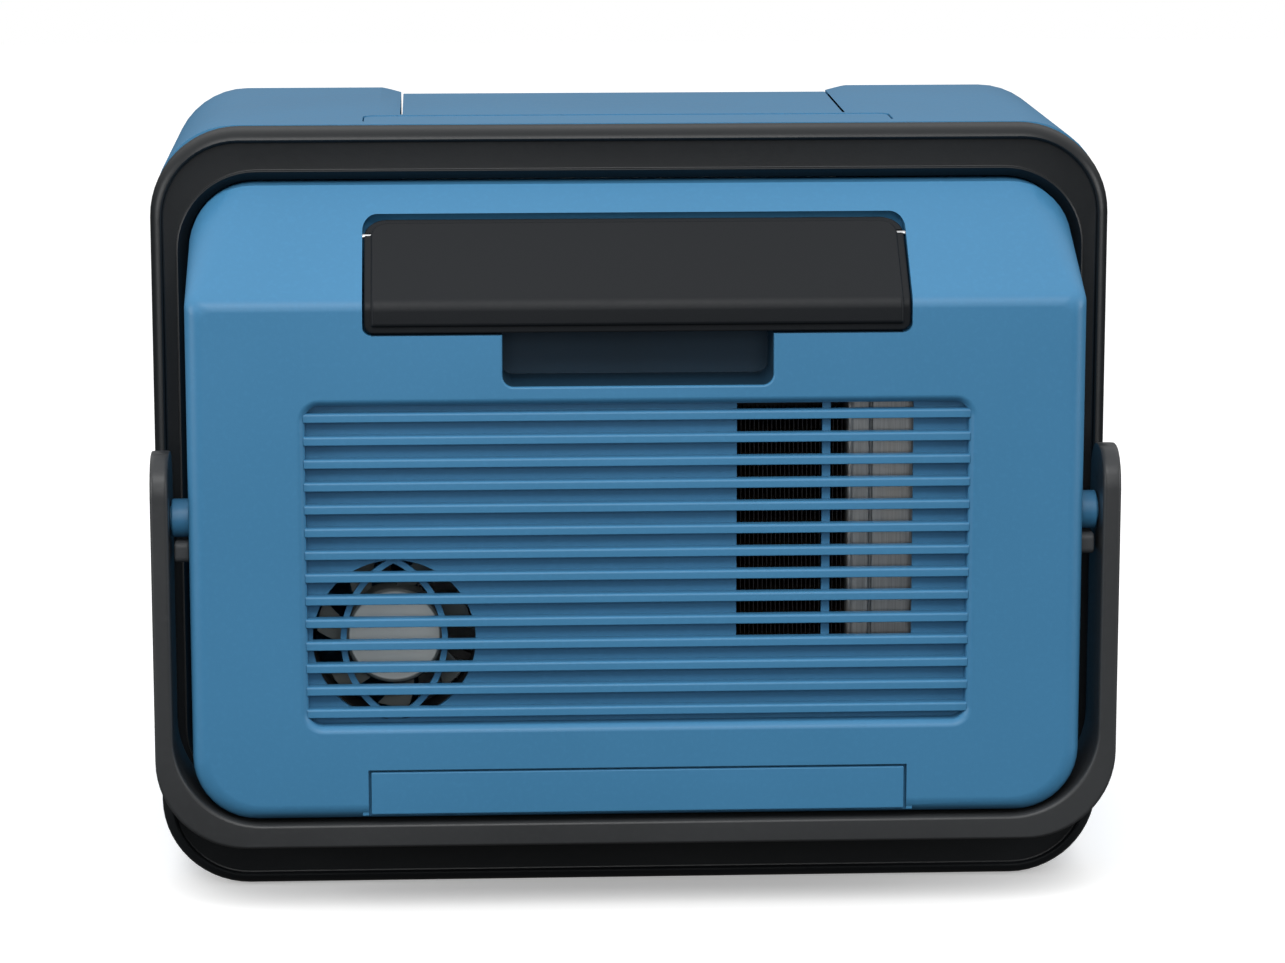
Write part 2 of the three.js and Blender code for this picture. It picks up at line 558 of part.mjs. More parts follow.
function fanRotor() {
  const hub = rodY(FAN.hub, FAN.x, FAN.from + 0.8, FAN.to - 3.6, FAN.z, 24);
  const blades = [];
  for (let i = 0; i < FAN.blades; i += 1) {
    const shape = new THREE.Shape();
    shape.moveTo(-1, 0);
    shape.quadraticCurveTo(2, 4, 10, 8.4);
    shape.lineTo(10.6, 7.4);
    shape.quadraticCurveTo(3.4, 3, 0.6, 0);
    const blade = extrude(shape, FAN.tip - FAN.hub + 4, 3);
    blade.translate(-5, 0, FAN.hub - 3).rotateY((i / FAN.blades) * Math.PI * 2);
    blades.push(blade.translate(FAN.x, FAN.from + 1.4, FAN.z));
  }
  const sweep = rodY(FAN.tip, FAN.x, FAN.from, FAN.to, FAN.z, 36);
  return overlap(join(hub, ...blades), sweep);
}

const fanScrew = (x, z) => join(
  rodY(1.7, FAN.x + x, FAN.from + 0.4, FAN.to + 1, FAN.z + z, 10),
  rodY(3.4, FAN.x + x, FAN.to + 0.4, FAN.to + 2.6, FAN.z + z, 12));

const filterDrier = () => {
  const profile = [[0, 130], [3, 130], [3, 134], [8, 139], [8, 171], [3, 176], [3, 180], [0, 180]];
  return new THREE.LatheGeometry(profile.map(([r, z]) => new THREE.Vector2(r, z)), 14)
    .rotateX(Math.PI / 2).translate(-62, 60, 0);
};

const hotGasValve = () => join(box(-112, -96, 66, 82, 150, 158), rodZ(7, -104, 74, 157, 178, 16),
  box(-110, -98, 64, 84, 163, 175));

const PIPES = {
  discharge_pipe: [[6, 100, 110.4], [6, 98, 124], [30, 84, 132], [76, 58, 134], [86, 46, 130],
    [86, 38.8, 128]],
  liquid_pipe: [[-38.4, 38.6, 110], [-39, 46, 110], [-50, 58, 114], [-62, 60, 122], [-62, 60, 129.4]],
  capillary_pipe: [[-62, 60, 180.6], [-62, 62, 194], [-62, 72, 204], [-62, 86, 210], [-62, 99.4, 210]],
  suction_pipe: [[40, 99.4, 214], [40, 90, 212], [32, 80, 190], [0, 86, 150], [-10, 98, 124],
    [-10, 100, 110.4]],
};

// ---- water side ----
const waterPump = () => join(rodZ(15, 108, 176, 12, 30, 24), rodZ(19, 108, 176, 30, 40, 24),
  box(92, 124, 168, 184, 9.4, 13), rodZ(4, 108, 176, 39, 48, 12));

const HOSES = {
  pump_hose: [[108, 176, 48.4], [108, 176, 62], [98, 172, 110], [90, 158, 180], [90, TRAY.y + 22, 222],
    [84, TRAY.y + 20, 228], [LINER.half + 0.6, TRAY.y + 20, 228]],
  sump_hose: [[60, 176, 39.6], [60, 176, 32], [66, 176, 25], [80, 176, 22], [92.4, 176, 22]],
  drain_hose: [[-60, 150, 39.6], [-60, 148, 33], [-60, 138, 28], [-60, 110, 26], [-60, 84, 34],
    [-60, 66, 43], [-60, 44, 44.5], [-60, 26, 44.5]],
};

const drainPlug = () => join(rodY(4.2, -60, 17, 25.4, 44.5, 16), rodY(5.2, -60, 11, 17.2, 44.5, 16));

// ---- boards ----
const mainBoard = () => join(box(-147, -145, 96, 186, 60, 150),
  box(-145.5, -130, 104, 128, 70, 96), box(-145.5, -126, 104, 124, 112, 138),
  box(-145.5, -134, 140, 170, 76, 84), rodX(6, -145.5, -128, 150, 120, 14));

const controlBoard = () => alongX(polygon([onSlope(PANEL.start + 6, 7.4), onSlope(PANEL.end - 2, 7.4),
  onSlope(PANEL.end - 2, 9), onSlope(PANEL.start + 6, 9)].reverse()), PANEL.left + 3, PANEL.right - 3);

// ---- assembly ----
place('rear_shell', rearShell(), MATERIAL.blue);
place('rear_grille', rearGrille(), MATERIAL.blue);
place('frame_band', frameBand(), MATERIAL.black);
place('front_shell', frontShell(), MATERIAL.blue);
place('base_tray', baseTray(), MATERIAL.grey);
place('bottom_cover', bottomCover(), MATERIAL.blue);
place('top_strip', topStrip(), MATERIAL.blue);
place('foot_left', foot(-120, 205), MATERIAL.rubber);
place('foot_right', foot(120, 205), MATERIAL.rubber);

place('carry_handle', carryHandle(), MATERIAL.black);
place('rear_flap', rearFlap(), MATERIAL.black);
place('power_inlet', powerInlet(), MATERIAL.black);
place('lid_frame', lidFrame(), MATERIAL.blue);
place('lid_window', lidWindow(), MATERIAL.clear);
for (const [word, side] of [['left', -1], ['right', 1]]) {
  place(`handle_pivot_${word}`, handlePivot(side), MATERIAL.blue);
  place(`handle_bumper_${word}`, handleBumper(side), MATERIAL.grey);
  place(`flap_pin_${word}`, flapPin(side), MATERIAL.steel);
  place(`lid_pin_${word}`, lidPin(side), MATERIAL.steel);
  place(`ice_sensor_${word}`, iceSensor(side), MATERIAL.black);
  place(`condenser_header_${word}`, condenserHeader(side), MATERIAL.aluminium);
}

place('control_panel', controlPanel(), MATERIAL.black);
['power_button', 'size_button', 'clean_button'].forEach((name, i) =>
  place(name, button(buttonPlaces()[i]), MATERIAL.grey));
place('control_board', controlBoard(), MATERIAL.board);
place('main_board', mainBoard(), MATERIAL.board);

place('inner_liner', innerLiner(), MATERIAL.white);
place('ice_basket', iceBasket(), MATERIAL.clear);
place('evaporator', evaporator(), MATERIAL.steel);
place('water_tray', waterTray(), MATERIAL.white);
place('tray_motor', trayMotor(), MATERIAL.white);

place('compressor', compressor(), MATERIAL.shell);
grommetPlaces().forEach((spot, i) => place(`compressor_grommet_${i + 1}`, grommet(spot), MATERIAL.rubber));
place('terminal_cover', terminalCover(), MATERIAL.black);
place('condenser_core', condenserCore(), MATERIAL.aluminium);
place('fan_frame', fanFrame(), MATERIAL.black);
place('fan_rotor', fanRotor(), MATERIAL.grey);
[[-25, 25], [25, -25]].forEach(([x, z], i) =>
  place(`fan_screw_${i + 1}`, fanScrew(x, z), MATERIAL.steel));
place('filter_drier', filterDrier(), MATERIAL.copper);
place('hot_gas_valve', hotGasValve(), MATERIAL.grey);
for (const [name, points] of Object.entries(PIPES)) {
  place(name, pipe(points, name === 'capillary_pipe' ? 1.6 : 3, 14), MATERIAL.copper);
}

place('water_pump', waterPump(), MATERIAL.black);
for (const [name, points] of Object.entries(HOSES)) {
  place(name, pipe(points, 4, 14), MATERIAL.clear);
}
place('drain_plug', drainPlug(), MATERIAL.rubber);

root.position.y = -DEPTH / 2;

export default root;
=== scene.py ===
"""Portable countertop ice maker seen from its service side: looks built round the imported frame.

Sizes in the code are millimetres, measured across, forward of the rear face, and up. The
function spot() turns them into metres in the row frame.
"""

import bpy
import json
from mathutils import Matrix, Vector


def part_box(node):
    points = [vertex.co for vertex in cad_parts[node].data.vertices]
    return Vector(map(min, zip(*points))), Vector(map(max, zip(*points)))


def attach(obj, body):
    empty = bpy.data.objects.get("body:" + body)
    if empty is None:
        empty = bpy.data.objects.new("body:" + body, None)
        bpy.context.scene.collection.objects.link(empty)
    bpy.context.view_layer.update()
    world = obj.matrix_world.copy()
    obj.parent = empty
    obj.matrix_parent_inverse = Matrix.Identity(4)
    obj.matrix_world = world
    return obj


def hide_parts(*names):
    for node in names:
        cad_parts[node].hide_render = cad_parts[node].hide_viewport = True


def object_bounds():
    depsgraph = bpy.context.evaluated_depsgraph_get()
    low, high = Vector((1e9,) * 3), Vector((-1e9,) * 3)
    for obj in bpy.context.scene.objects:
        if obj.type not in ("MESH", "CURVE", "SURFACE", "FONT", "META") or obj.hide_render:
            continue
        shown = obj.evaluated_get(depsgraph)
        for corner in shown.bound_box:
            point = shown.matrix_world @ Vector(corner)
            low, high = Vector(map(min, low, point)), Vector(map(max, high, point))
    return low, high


bl_info = {
    "name": "Portable ice maker",
    "version": (1, 0, 0),
    "blender": (4, 5, 0),
    "location": "3D View > Sidebar > Ice maker",
    "description": "Builds the casing, handle, flap, grille, fan, lid and finishes piece by piece",
    "category": "Object",
}

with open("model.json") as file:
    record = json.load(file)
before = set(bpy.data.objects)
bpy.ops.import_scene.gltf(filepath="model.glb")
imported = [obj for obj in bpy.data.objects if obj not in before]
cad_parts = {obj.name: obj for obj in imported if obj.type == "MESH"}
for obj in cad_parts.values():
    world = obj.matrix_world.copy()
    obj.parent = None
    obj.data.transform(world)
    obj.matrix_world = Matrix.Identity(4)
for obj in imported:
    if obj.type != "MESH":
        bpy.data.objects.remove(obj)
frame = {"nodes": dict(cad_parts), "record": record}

import json
from math import atan2, cos, hypot, pi, radians, sin, sqrt, tan

import bmesh
import bpy
from bpy.props import FloatProperty, FloatVectorProperty, IntProperty, PointerProperty
from mathutils import Matrix, Vector

CAD_BOUNDS = [[float(v) for v in corner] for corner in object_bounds()]
MM = 0.001
REAR_Y = CAD_BOUNDS[0][1]
SLOT_COLOUR = {m["slot"]: tuple(m["base_color"][:3]) for m in frame["record"]["materials"]}
NODES = frame["nodes"]


def cad(node):
    """A CAD node's box in millimetres: left, right, rear, front, low, high."""
    low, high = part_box(node)
    return (
        low.x / MM, high.x / MM,
        (low.y - REAR_Y) / MM, (high.y - REAR_Y) / MM,
        low.z / MM, high.z / MM,
    )


# ---- main sizes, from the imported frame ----
BAND_BOX = cad("frame_band")
HEIGHT = BAND_BOX[5]
BAND_HALF = BAND_BOX[1]
CORNER = 31.0
REAR_BOX = cad("rear_shell")
REAR_HALF, REAR_LOW, REAR_HIGH = REAR_BOX[1], REAR_BOX[4], REAR_BOX[5]
CREASE, SLANT_RUN = 216.0, 43.0
SLANT = atan2(REAR_HIGH - CREASE, SLANT_RUN)
WALL = 2.4
FRONT_BOX = cad("front_shell")
FRONT_HALF, FRONT_FROM, DEPTH, FRONT_LOW = FRONT_BOX[1], FRONT_BOX[2], FRONT_BOX[3], FRONT_BOX[4]
RIDGE, SLOPE_END, SLOPE_RUN = 193.0, 196.0, 39.0
HANDLE_BOX = cad("carry_handle")
FLAP_BOX = cad("rear_flap")
GRILLE_HALF, GRILLE_LOW, GRILLE_HIGH, GRILLE_CORNER = 115.8, 66.6, 183.4, 7.6
COVER_BOX = cad("bottom_cover")
FAN_X, FAN_Z, FAN_HOLE = -83.6, 98.4, 28.0
LABEL_RADIUS, HIGHEST_TUBE = 0.0152, 171.6
GRILLE_PLATE, PLATE_THICK = 6.4, 2.0
GUARD_SHIFT, GUARD_OUTER, GUARD_INNER = 13.8, 32.2, 30.2
SLAT_FRONT, SLAT_TOP = 1.6, 178.2
POCKET_HALF, POCKET_LOW, POCKET_DEEP, POCKET_SILL = 46.8, 186.4, 27.6, 2.4
ARM, BAR = 6.2, 8.5
PIVOT_Y, PIVOT_Z = 17.0, 139.8
HINGE_Y, HINGE_Z = 98.0, 263.2
FLAP_ALONG, PIN_ALONG, PIN_DEPTH = 40.2, 33.2, 2.3
CAMERA_PLACE, CAMERA_DOWN, CAMERA_TURN = (-0.07, -1.573, 0.4366), 10.97, -2.81


# ---- places ----
def spot(x, y, z):
    """Millimetres across, forward of the rear face and up, as metres in the row frame."""
    return Vector((x * MM, REAR_Y + y * MM, z * MM))


def on_slant(along, depth=0.0):
    """A point of the slanted top of the rear shell, along from its crease and below its skin."""
    return (
        along * cos(SLANT) + depth * sin(SLANT),
        CREASE + along * sin(SLANT) - depth * cos(SLANT),
    )


SLOPE_LENGTH = hypot(SLOPE_RUN, HEIGHT - SLOPE_END)
SLOPE_Y, SLOPE_Z = SLOPE_RUN / SLOPE_LENGTH, (SLOPE_END - HEIGHT) / SLOPE_LENGTH


def on_slope(along, depth=0.0):
    """A point of the sloped front, along from the ridge and below the skin."""
    return (RIDGE + SLOPE_Y * along + SLOPE_Z * depth, HEIGHT + SLOPE_Z * along - SLOPE_Y * depth)


def slope_at(z, depth=0.0):
    """The point of the sloped front at one height."""
    y0, z0 = on_slope(0, depth)
    return (y0 + SLOPE_Y * (z - z0) / SLOPE_Z, z)


def ease(t):
    """0 to 1 with soft ends."""
    t = min(max(t, 0.0), 1.0)
    return t * t * (3 - 2 * t)


def round_off(distance, radius):
    """How far a rounded edge of that radius has pulled in, at a distance from its end."""
    if distance >= radius:
        return 0.0
    return radius - sqrt(max(radius**2 - (radius - distance) ** 2, 0.0))


# ---- outlines: lists of flat points ----
def corner_arc(cx, cz, radius, start, steps):
    """A quarter turn of points about a centre, from a start angle in degrees."""
    return [
        (cx + radius * cos(radians(start + 90 * i / steps)),
         cz + radius * sin(radians(start + 90 * i / steps)))
        for i in range(steps + 1)
    ]


def round_rect(left, right, low, high, r_low, r_high=None, steps=8):
    """A rectangle whose low and high corners are rounded by their own radii."""
    r_high = r_low if r_high is None else r_high
    return (
        corner_arc(right - r_low, low + r_low, r_low, -90, steps)
        + corner_arc(right - r_high, high - r_high, r_high, 0, steps)
        + corner_arc(left + r_high, high - r_high, r_high, 90, steps)
        + corner_arc(left + r_low, low + r_low, r_low, 180, steps)
    )


def disc(cx, cz, radius, steps=48):
    """Points round a circle."""
    return [
        (cx + radius * cos(2 * pi * i / steps), cz + radius * sin(2 * pi * i / steps))
        for i in range(steps)
    ]


# ---- meshes ----
def piece(name, points, faces):
    """A closed mesh object from millimetre points, with its faces turned outwards."""
    mesh = bpy.data.meshes.new(name)
    mesh.from_pydata([spot(*p) for p in points], [], faces)
    bm = bmesh.new()
    bm.from_mesh(mesh)
    bmesh.ops.remove_doubles(bm, verts=bm.verts, dist=1e-6)
    bmesh.ops.recalc_face_normals(bm, faces=bm.faces)
    if bm.calc_volume(signed=True) < 0:
        bmesh.ops.reverse_faces(bm, faces=bm.faces)
    bm.to_mesh(mesh)
    bm.free()
    obj = bpy.data.objects.new(name, mesh)
    bpy.context.scene.collection.objects.link(obj)
    return obj


def skin(name, rings, loop=False):
    """Joins equal rings of points into a closed skin; a loop joins the last ring to the first."""
    count, faces = len(rings[0]), []
    for i in range(len(rings) if loop else len(rings) - 1):
        a, b = i * count, (i + 1) % len(rings) * count
        faces += [
            (a + j, a + (j + 1) % count, b + (j + 1) % count, b + j) for j in range(count)
        ]
    if not loop:
        last = (len(rings) - 1) * count
        faces += [tuple(range(count)), tuple(range(last, last + count))]
    return piece(name, [p for ring in rings for p in ring], faces)


def prism(axis, outline, start, end):
    """An outline run along one axis. The outline is (x, z) for Y, (y, z) for X, (x, y) for Z."""
    order = {
        "X": lambda a, b, t: (t, a, b),
        "Y": lambda a, b, t: (a, t, b),
        "Z": lambda a, b, t: (a, b, t),
    }[axis]
    return skin("prism", [[order(a, b, t) for a, b in outline] for t in (start, end)])


def block(x0, x1, y0, y1, z0, z1):
    """A plain block, used to cut or join."""
    return prism("Z", [(x0, y0), (x1, y0), (x1, y1), (x0, y1)], z0, z1)


def turned(name, axis, centre, profile, steps=48):
    """A profile of (radius, distance) turned about an axis through centre."""
    rings = []
    for radius, distance in profile:
        ring = []
        for a, b in disc(0, 0, max(radius, 1e-3), steps):
            shift = {"X": (distance, a, b), "Y": (a, distance, b), "Z": (a, b, distance)}[axis]
            ring.append(tuple(c + s for c, s in zip(centre, shift)))
        rings.append(ring)
    return skin(name, rings)


def rods(y, z, radius, near, far, steps):
    """Two rods along X, one on either side of the middle."""
    outline = disc(y, z, radius, steps)
    return [prism("X", outline, *sorted((side * near, side * far))) for side in (-1, 1)]


def settle(obj):
    """Turns an object's modifiers into its mesh."""
    graph = bpy.context.evaluated_depsgraph_get()
    mesh = bpy.data.meshes.new_from_object(obj.evaluated_get(graph))
    old, obj.data = obj.data, mesh
    obj.modifiers.clear()
    bpy.data.meshes.remove(old)
    return obj


def combine(obj, operation, parts):
    """Joins, cuts or keeps the overlap of an object with others, which are used up."""
    for part in parts:
        step = obj.modifiers.new("combine", "BOOLEAN")
        step.operation, step.solver, step.object = operation, "EXACT", part
    settle(obj)
    for part in parts:
        bpy.data.objects.remove(part)
    return obj


def carve(obj, *parts):
    return combine(obj, "DIFFERENCE", parts)


def weld(obj, *parts):
    return combine(obj, "UNION", parts)


def common(obj, *parts):
    return combine(obj, "INTERSECT", parts)


def soften(obj, width=0.5, steps=2, angle=34, smooth=34):
    """Rounds the sharp edges of an object and shades it with clean flats."""
    if width:
        bevel = obj.modifiers.new("edges", "BEVEL")
        bevel.width, bevel.segments, bevel.angle_limit = width * MM, steps, radians(angle)
        bevel.limit_method, bevel.miter_outer = "ANGLE", "MITER_ARC"
        settle(obj)
    obj.data.shade_smooth()
    obj.data.set_sharp_from_angle(angle=radians(smooth))
    flats = obj.modifiers.new("flats", "WEIGHTED_NORMAL")
    flats.keep_sharp, flats.weight = True, 80
    return settle(obj)


def present(obj, name, body, slot, *nodes, look=None):
    """Names a piece, gives it its finish, and sets it on its body in place of its CAD nodes."""
    obj.name = obj.data.name = name
    obj.data.materials.clear()
    obj.data.materials.append(finish(look or slot))
    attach(obj, body)
    if nodes:
        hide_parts(*nodes)
    return obj


# ---- node trees ----
class Number:
    """A socket that takes part in plain arithmetic, adding Math nodes as it goes."""

    def __init__(self, tree, socket):
        self.tree, self.socket = tree, socket

    def _math(self, operation, first, second):
        values = {0: first, 1: second}
        made = self.tree.node("ShaderNodeMath", {"operation": operation}, values)
        return Number(self.tree, made.outputs[0])

    def __add__(self, other):
        return self._math("ADD", self, other)

    def __radd__(self, other):
        return self._math("ADD", other, self)

    def __sub__(self, other):
        return self._math("SUBTRACT", self, other)

    def __rsub__(self, other):
        return self._math("SUBTRACT", other, self)

    def __mul__(self, other):
        return self._math("MULTIPLY", self, other)

    def __rmul__(self, other):
        return self._math("MULTIPLY", other, self)

    def __truediv__(self, other):
        return self._math("DIVIDE", self, other)


class Tree:
    """A node tree and the one way that nodes are added to it."""

    def __init__(self, group):
        self.group = group

    def node(self, kind, settings=None, values=None):
        """Adds a node: its settings first, then the values or links of its sockets."""
        made = self.group.nodes.new(kind)
        for key, value in (settings or {}).items():
            setattr(made, key, value)
        for key, value in (values or {}).items():
            value = value.socket if isinstance(value, Number) else value
            if isinstance(value, bpy.types.NodeSocket):
                self.group.links.new(value, made.inputs[key])
            else:
                made.inputs[key].default_value = value
        return made


class Paint(Tree):
    """The nodes of one finish, on Object coordinates in metres."""

    def __init__(self, name, **constants):
        self.material = bpy.data.materials.new(name)
        self.material.use_nodes = True
        super().__init__(self.material.node_tree)
        self.group.nodes.clear()
        self.shader = self.node("ShaderNodeBsdfPrincipled", None, {
            key.replace("_", " "): value for key, value in constants.items()
        })
        self.node("ShaderNodeOutputMaterial", None, {"Surface": self.shader.outputs[0]})
        self.place = self.node("ShaderNodeTexCoord").outputs["Object"]

    def stretched(self, x, y, z):
        """The place, stretched along each axis."""
        made = self.node("ShaderNodeMapping", None, {"Vector": self.place, "Scale": (x, y, z)})
        return made.outputs[0]

    def noise(self, scale, detail=2.0, place=None, rough=0.5):
        made = self.node("ShaderNodeTexNoise", None, {
            "Vector": place or self.place, "Scale": scale, "Detail": detail, "Roughness": rough,
        })
        return Number(self, made.outputs["Fac"])

    def cells(self, scale):
        made = self.node("ShaderNodeTexVoronoi", None, {"Vector": self.place, "Scale": scale})
        return Number(self, made.outputs["Distance"])

    def spread(self, number, low, high, new_low, new_high):
        """Takes a range of a number to another range, held at its ends."""
        made = self.node("ShaderNodeMapRange", None, {
            "Value": number, "From Min": low, "From Max": high,
            "To Min": new_low, "To Max": new_high,
        })
        return Number(self, made.outputs[0])

    def mixed(self, factor, first, second):
        """Two colours mixed by a number."""
        made = self.node("ShaderNodeMix", {"data_type": "RGBA"}, {
            0: factor,
            6: (*first, 1.0) if isinstance(first, (tuple, list)) else first,
            7: (*second, 1.0) if isinstance(second, (tuple, list)) else second,
        })
        return made.outputs[2]

    def feed(self, **inputs):
        """Sets the varying inputs of the shader."""
        for key, value in inputs.items():
            value = value.socket if isinstance(value, Number) else value
            self.group.links.new(value, self.shader.inputs[key.replace("_", " ")])

    def raised(self, height, distance, strength=1.0):
        """Surface relief from a height from 0 to 1, of a real depth in metres."""
        made = self.node("ShaderNodeBump", None, {
            "Height": height, "Distance": distance, "Strength": strength,
        })
        self.feed(Normal=made.outputs[0])


def shade(colour, factor):
    """A colour made lighter or darker."""
    return tuple(min(c * factor, 1.0) for c in colour)


def moulded(name, colour, rough=0.42, grain=1500.0, depth=0.00005, tone=0.08, rub=0.0, shine=0.32):
    """Moulded plastic: fine spark-eroded grain, slow changes of tone, faint handling marks."""
    paint = Paint(name, Specular_IOR_Level=shine)
    slow = paint.noise(9.0, 3.0)
    specks = paint.noise(grain * 0.35, 2.0)
    clouds = paint.spread(slow, 0.3, 0.7, 0.0, 1.0)
    base = paint.mixed(clouds, shade(colour, 1 - tone), shade(colour, 1 + tone))
    base = paint.mixed(paint.spread(specks, 0.5, 0.8, 0.0, 0.25), base, shade(colour, 1.25))
    marks = paint.noise(260.0, 4.0, paint.stretched(0.16, 0.5, 1.0), 0.6)
    scuffs = paint.spread(marks, 0.62, 0.78, 0.0, 1.0)
    if rub:
        base = paint.mixed(scuffs * rub, base, shade(colour, 2.2))
    gloss = rough + (slow - 0.5) * 0.16 + (specks - 0.5) * 0.1 + scuffs * (0.04 + rub * 0.3)
    paint.feed(Base_Color=base, Roughness=gloss)
    pits = paint.cells(grain)
    paint.raised(paint.noise(grain, 2.0) * 0.7 + pits * 0.3, depth, 0.35)
    return paint.material


def rubber(name, colour):
    """Matt rubber with a dusty bloom and a coarse skin."""
    paint = Paint(name, Specular_IOR_Level=0.25)
    dust = paint.spread(paint.noise(70.0, 4.0), 0.45, 0.75, 0.0, 0.5)
    paint.feed(
        Base_Color=paint.mixed(dust, colour, shade(colour, 3.2)),
        Roughness=0.72 + dust * 0.3,
    )
    paint.raised(paint.noise(900.0, 3.0), 0.00008, 0.4)
    return paint.material


def brushed(name, colour, stretch=(0.02, 1.0, 1.0), rough=0.34, stain=(0.5, 0.46, 0.4)):
    """Rolled or brushed metal: fine lines one way, cloudy stains, soft gloss."""
    paint = Paint(name, Metallic=1.0)
    lines = paint.noise(2600.0, 3.0, paint.stretched(*stretch))
    clouds = paint.noise(55.0, 4.0)
    grain = paint.spread(lines, 0.3, 0.7, 0.0, 1.0)
    base = paint.mixed(grain, shade(colour, 0.82), shade(colour, 1.15))
    dull = paint.spread(clouds, 0.5, 0.72, 0.0, 0.45)
    paint.feed(
        Base_Color=paint.mixed(dull, base, stain),
        Roughness=rough + (lines - 0.5) * 0.2 + dull * 0.25,
    )
    paint.raised(lines, 0.00002, 0.5)
    return paint.material


def drawn_tube(name, colour):
    """Drawn copper tube: bright metal with darker heat tints and a few dull patches."""
    paint = Paint(name, Metallic=1.0)
    tint = paint.noise(38.0, 3.0)
    dull = paint.spread(paint.noise(180.0, 4.0), 0.52, 0.75, 0.0, 1.0)
    base = paint.mixed(paint.spread(tint, 0.42, 0.62, 0.0, 1.0), colour, shade(colour, 0.45))
    paint.feed(
        Base_Color=paint.mixed(dull * 0.5, base, (0.18, 0.1, 0.06)),
        Roughness=0.24 + dull * 0.3,
    )
    paint.raised(paint.noise(1200.0, 2.0), 0.00001, 0.3)
    return paint.material


def clear(name, colour, rough, through, frost):
    """Clear or frosted plastic with faint swirls and smears."""
    paint = Paint(name, Transmission_Weight=through, IOR=1.46, Specular_IOR_Level=0.5)
    smears = paint.spread(paint.noise(30.0, 4.0), 0.5, 0.75, 0.0, 1.0)
    paint.feed(
        Base_Color=paint.mixed(smears * 0.4, colour, shade(colour, 0.86)),
        Roughness=rough + smears * frost,
    )
    paint.raised(paint.noise(420.0, 2.0), 0.00002, 0.25)
    return paint.material


def circuit(name, colour):
    """A printed circuit board: solder mask with paler tracks and pads."""
    paint = Paint(name, Specular_IOR_Level=0.5)
    tracks = paint.node("ShaderNodeTexBrick", {"offset": 0.37}, {
        "Vector": paint.stretched(1.0, 1.0, 1.6), "Scale": 120.0, "Mortar Size": 0.05,
        "Color1": (0, 0, 0, 1), "Color2": (0.1, 0.1, 0.1, 1), "Mortar": (1, 1, 1, 1),
    })
    pads = 1 - paint.spread(paint.cells(210.0), 0.12, 0.18, 0.0, 1.0)
    base = paint.mixed(tracks.outputs["Fac"], colour, shade(colour, 1.9))
    paint.feed(
        Base_Color=paint.mixed(pads * 0.8, base, (0.42, 0.42, 0.4)),
        Roughness=0.32 + paint.noise(300.0) * 0.2,
    )
    paint.raised(Number(paint, tracks.outputs["Fac"]), 0.00006, 0.4)
    return paint.material


def painted_can(name, colour):
    """Black paint on pressed steel, with orange peel and small chips."""
    paint = Paint(name, Coat_Weight=0.4, Coat_Roughness=0.2)
    chips = paint.spread(paint.noise(240.0, 3.0), 0.74, 0.78, 0.0, 1.0)
    paint.feed(
        Base_Color=paint.mixed(chips, colour, (0.16, 0.14, 0.12)),
        Roughness=0.38 + paint.noise(40.0) * 0.16,
    )
    paint.raised(paint.noise(320.0, 2.0), 0.0001, 0.35)
    return paint.material


def fan_label(name, colour, pale):
    """Matt grey plastic whose hub end carries a plain pale disc."""
    paint = Paint(name, Specular_IOR_Level=0.4)
    centred = paint.node("ShaderNodeMapping", None, {
        "Vector": paint.place, "Location": (-FAN_X * MM, 0, -FAN_Z * MM), "Scale": (1, 0, 1),
    })
    radius = Number(paint, paint.node(
        "ShaderNodeVectorMath", {"operation": "LENGTH"}, {0: centred.outputs[0]}
    ).outputs["Value"])
    face = 1 - paint.spread(radius, LABEL_RADIUS, LABEL_RADIUS + 0.0006, 0.0, 1.0)
    base = paint.mixed(face, colour, pale)
    paint.feed(
        Base_Color=paint.mixed(paint.noise(60.0) * 0.2, base, shade(colour, 0.8)),
        Roughness=0.5 + paint.noise(500.0) * 0.15 - face * 0.15,
    )
    paint.raised(paint.noise(900.0), 0.00003, 0.3)
    return paint.material


# ---- repeated pieces, made by Geometry Nodes ----
class Recipe(Tree):
    """A geometry tree with named inputs, which ends in Realize Instances and Set Material."""

    def __init__(self, name, **inputs):
        super().__init__(bpy.data.node_groups.new(name, "GeometryNodeTree"))
        face = self.group.interface
        face.new_socket("Geometry", in_out="OUTPUT", socket_type="NodeSocketGeometry")
        face.new_socket("Piece", in_out="INPUT", socket_type="NodeSocketGeometry")
        kinds = {float: "Float", int: "Int", tuple: "Vector"}
        for key, value in inputs.items():
            socket = face.new_socket(
                key.replace("_", " "), in_out="INPUT",
                socket_type="NodeSocket" + kinds[type(value)],
            )
            socket.default_value = value
        face.new_socket("Finish", in_out="INPUT", socket_type="NodeSocketMaterial")
        self.inputs = self.node("NodeGroupInput").outputs

    def end(self, geometry):
        joined = self.node("GeometryNodeRealizeInstances", None, {0: geometry})
        painted = self.node("GeometryNodeSetMaterial", None, {
            "Geometry": joined.outputs[0], "Material": self.inputs["Finish"],
        })
        self.node("NodeGroupOutput", None, {0: painted.outputs[0]})
        return self.group


def row_recipe():
    """Sets copies of a piece in a straight row."""
    tree = Recipe("Row of pieces", Count=2, Step=(0.0, 0.0, -0.01))
    line = tree.node("GeometryNodeMeshLine", None, {
        "Count": tree.inputs["Count"], "Offset": tree.inputs["Step"],
    })
    copies = tree.node("GeometryNodeInstanceOnPoints", None, {
        "Points": line.outputs[0], "Instance": tree.inputs["Piece"],
    })
    return tree.end(copies.outputs[0])


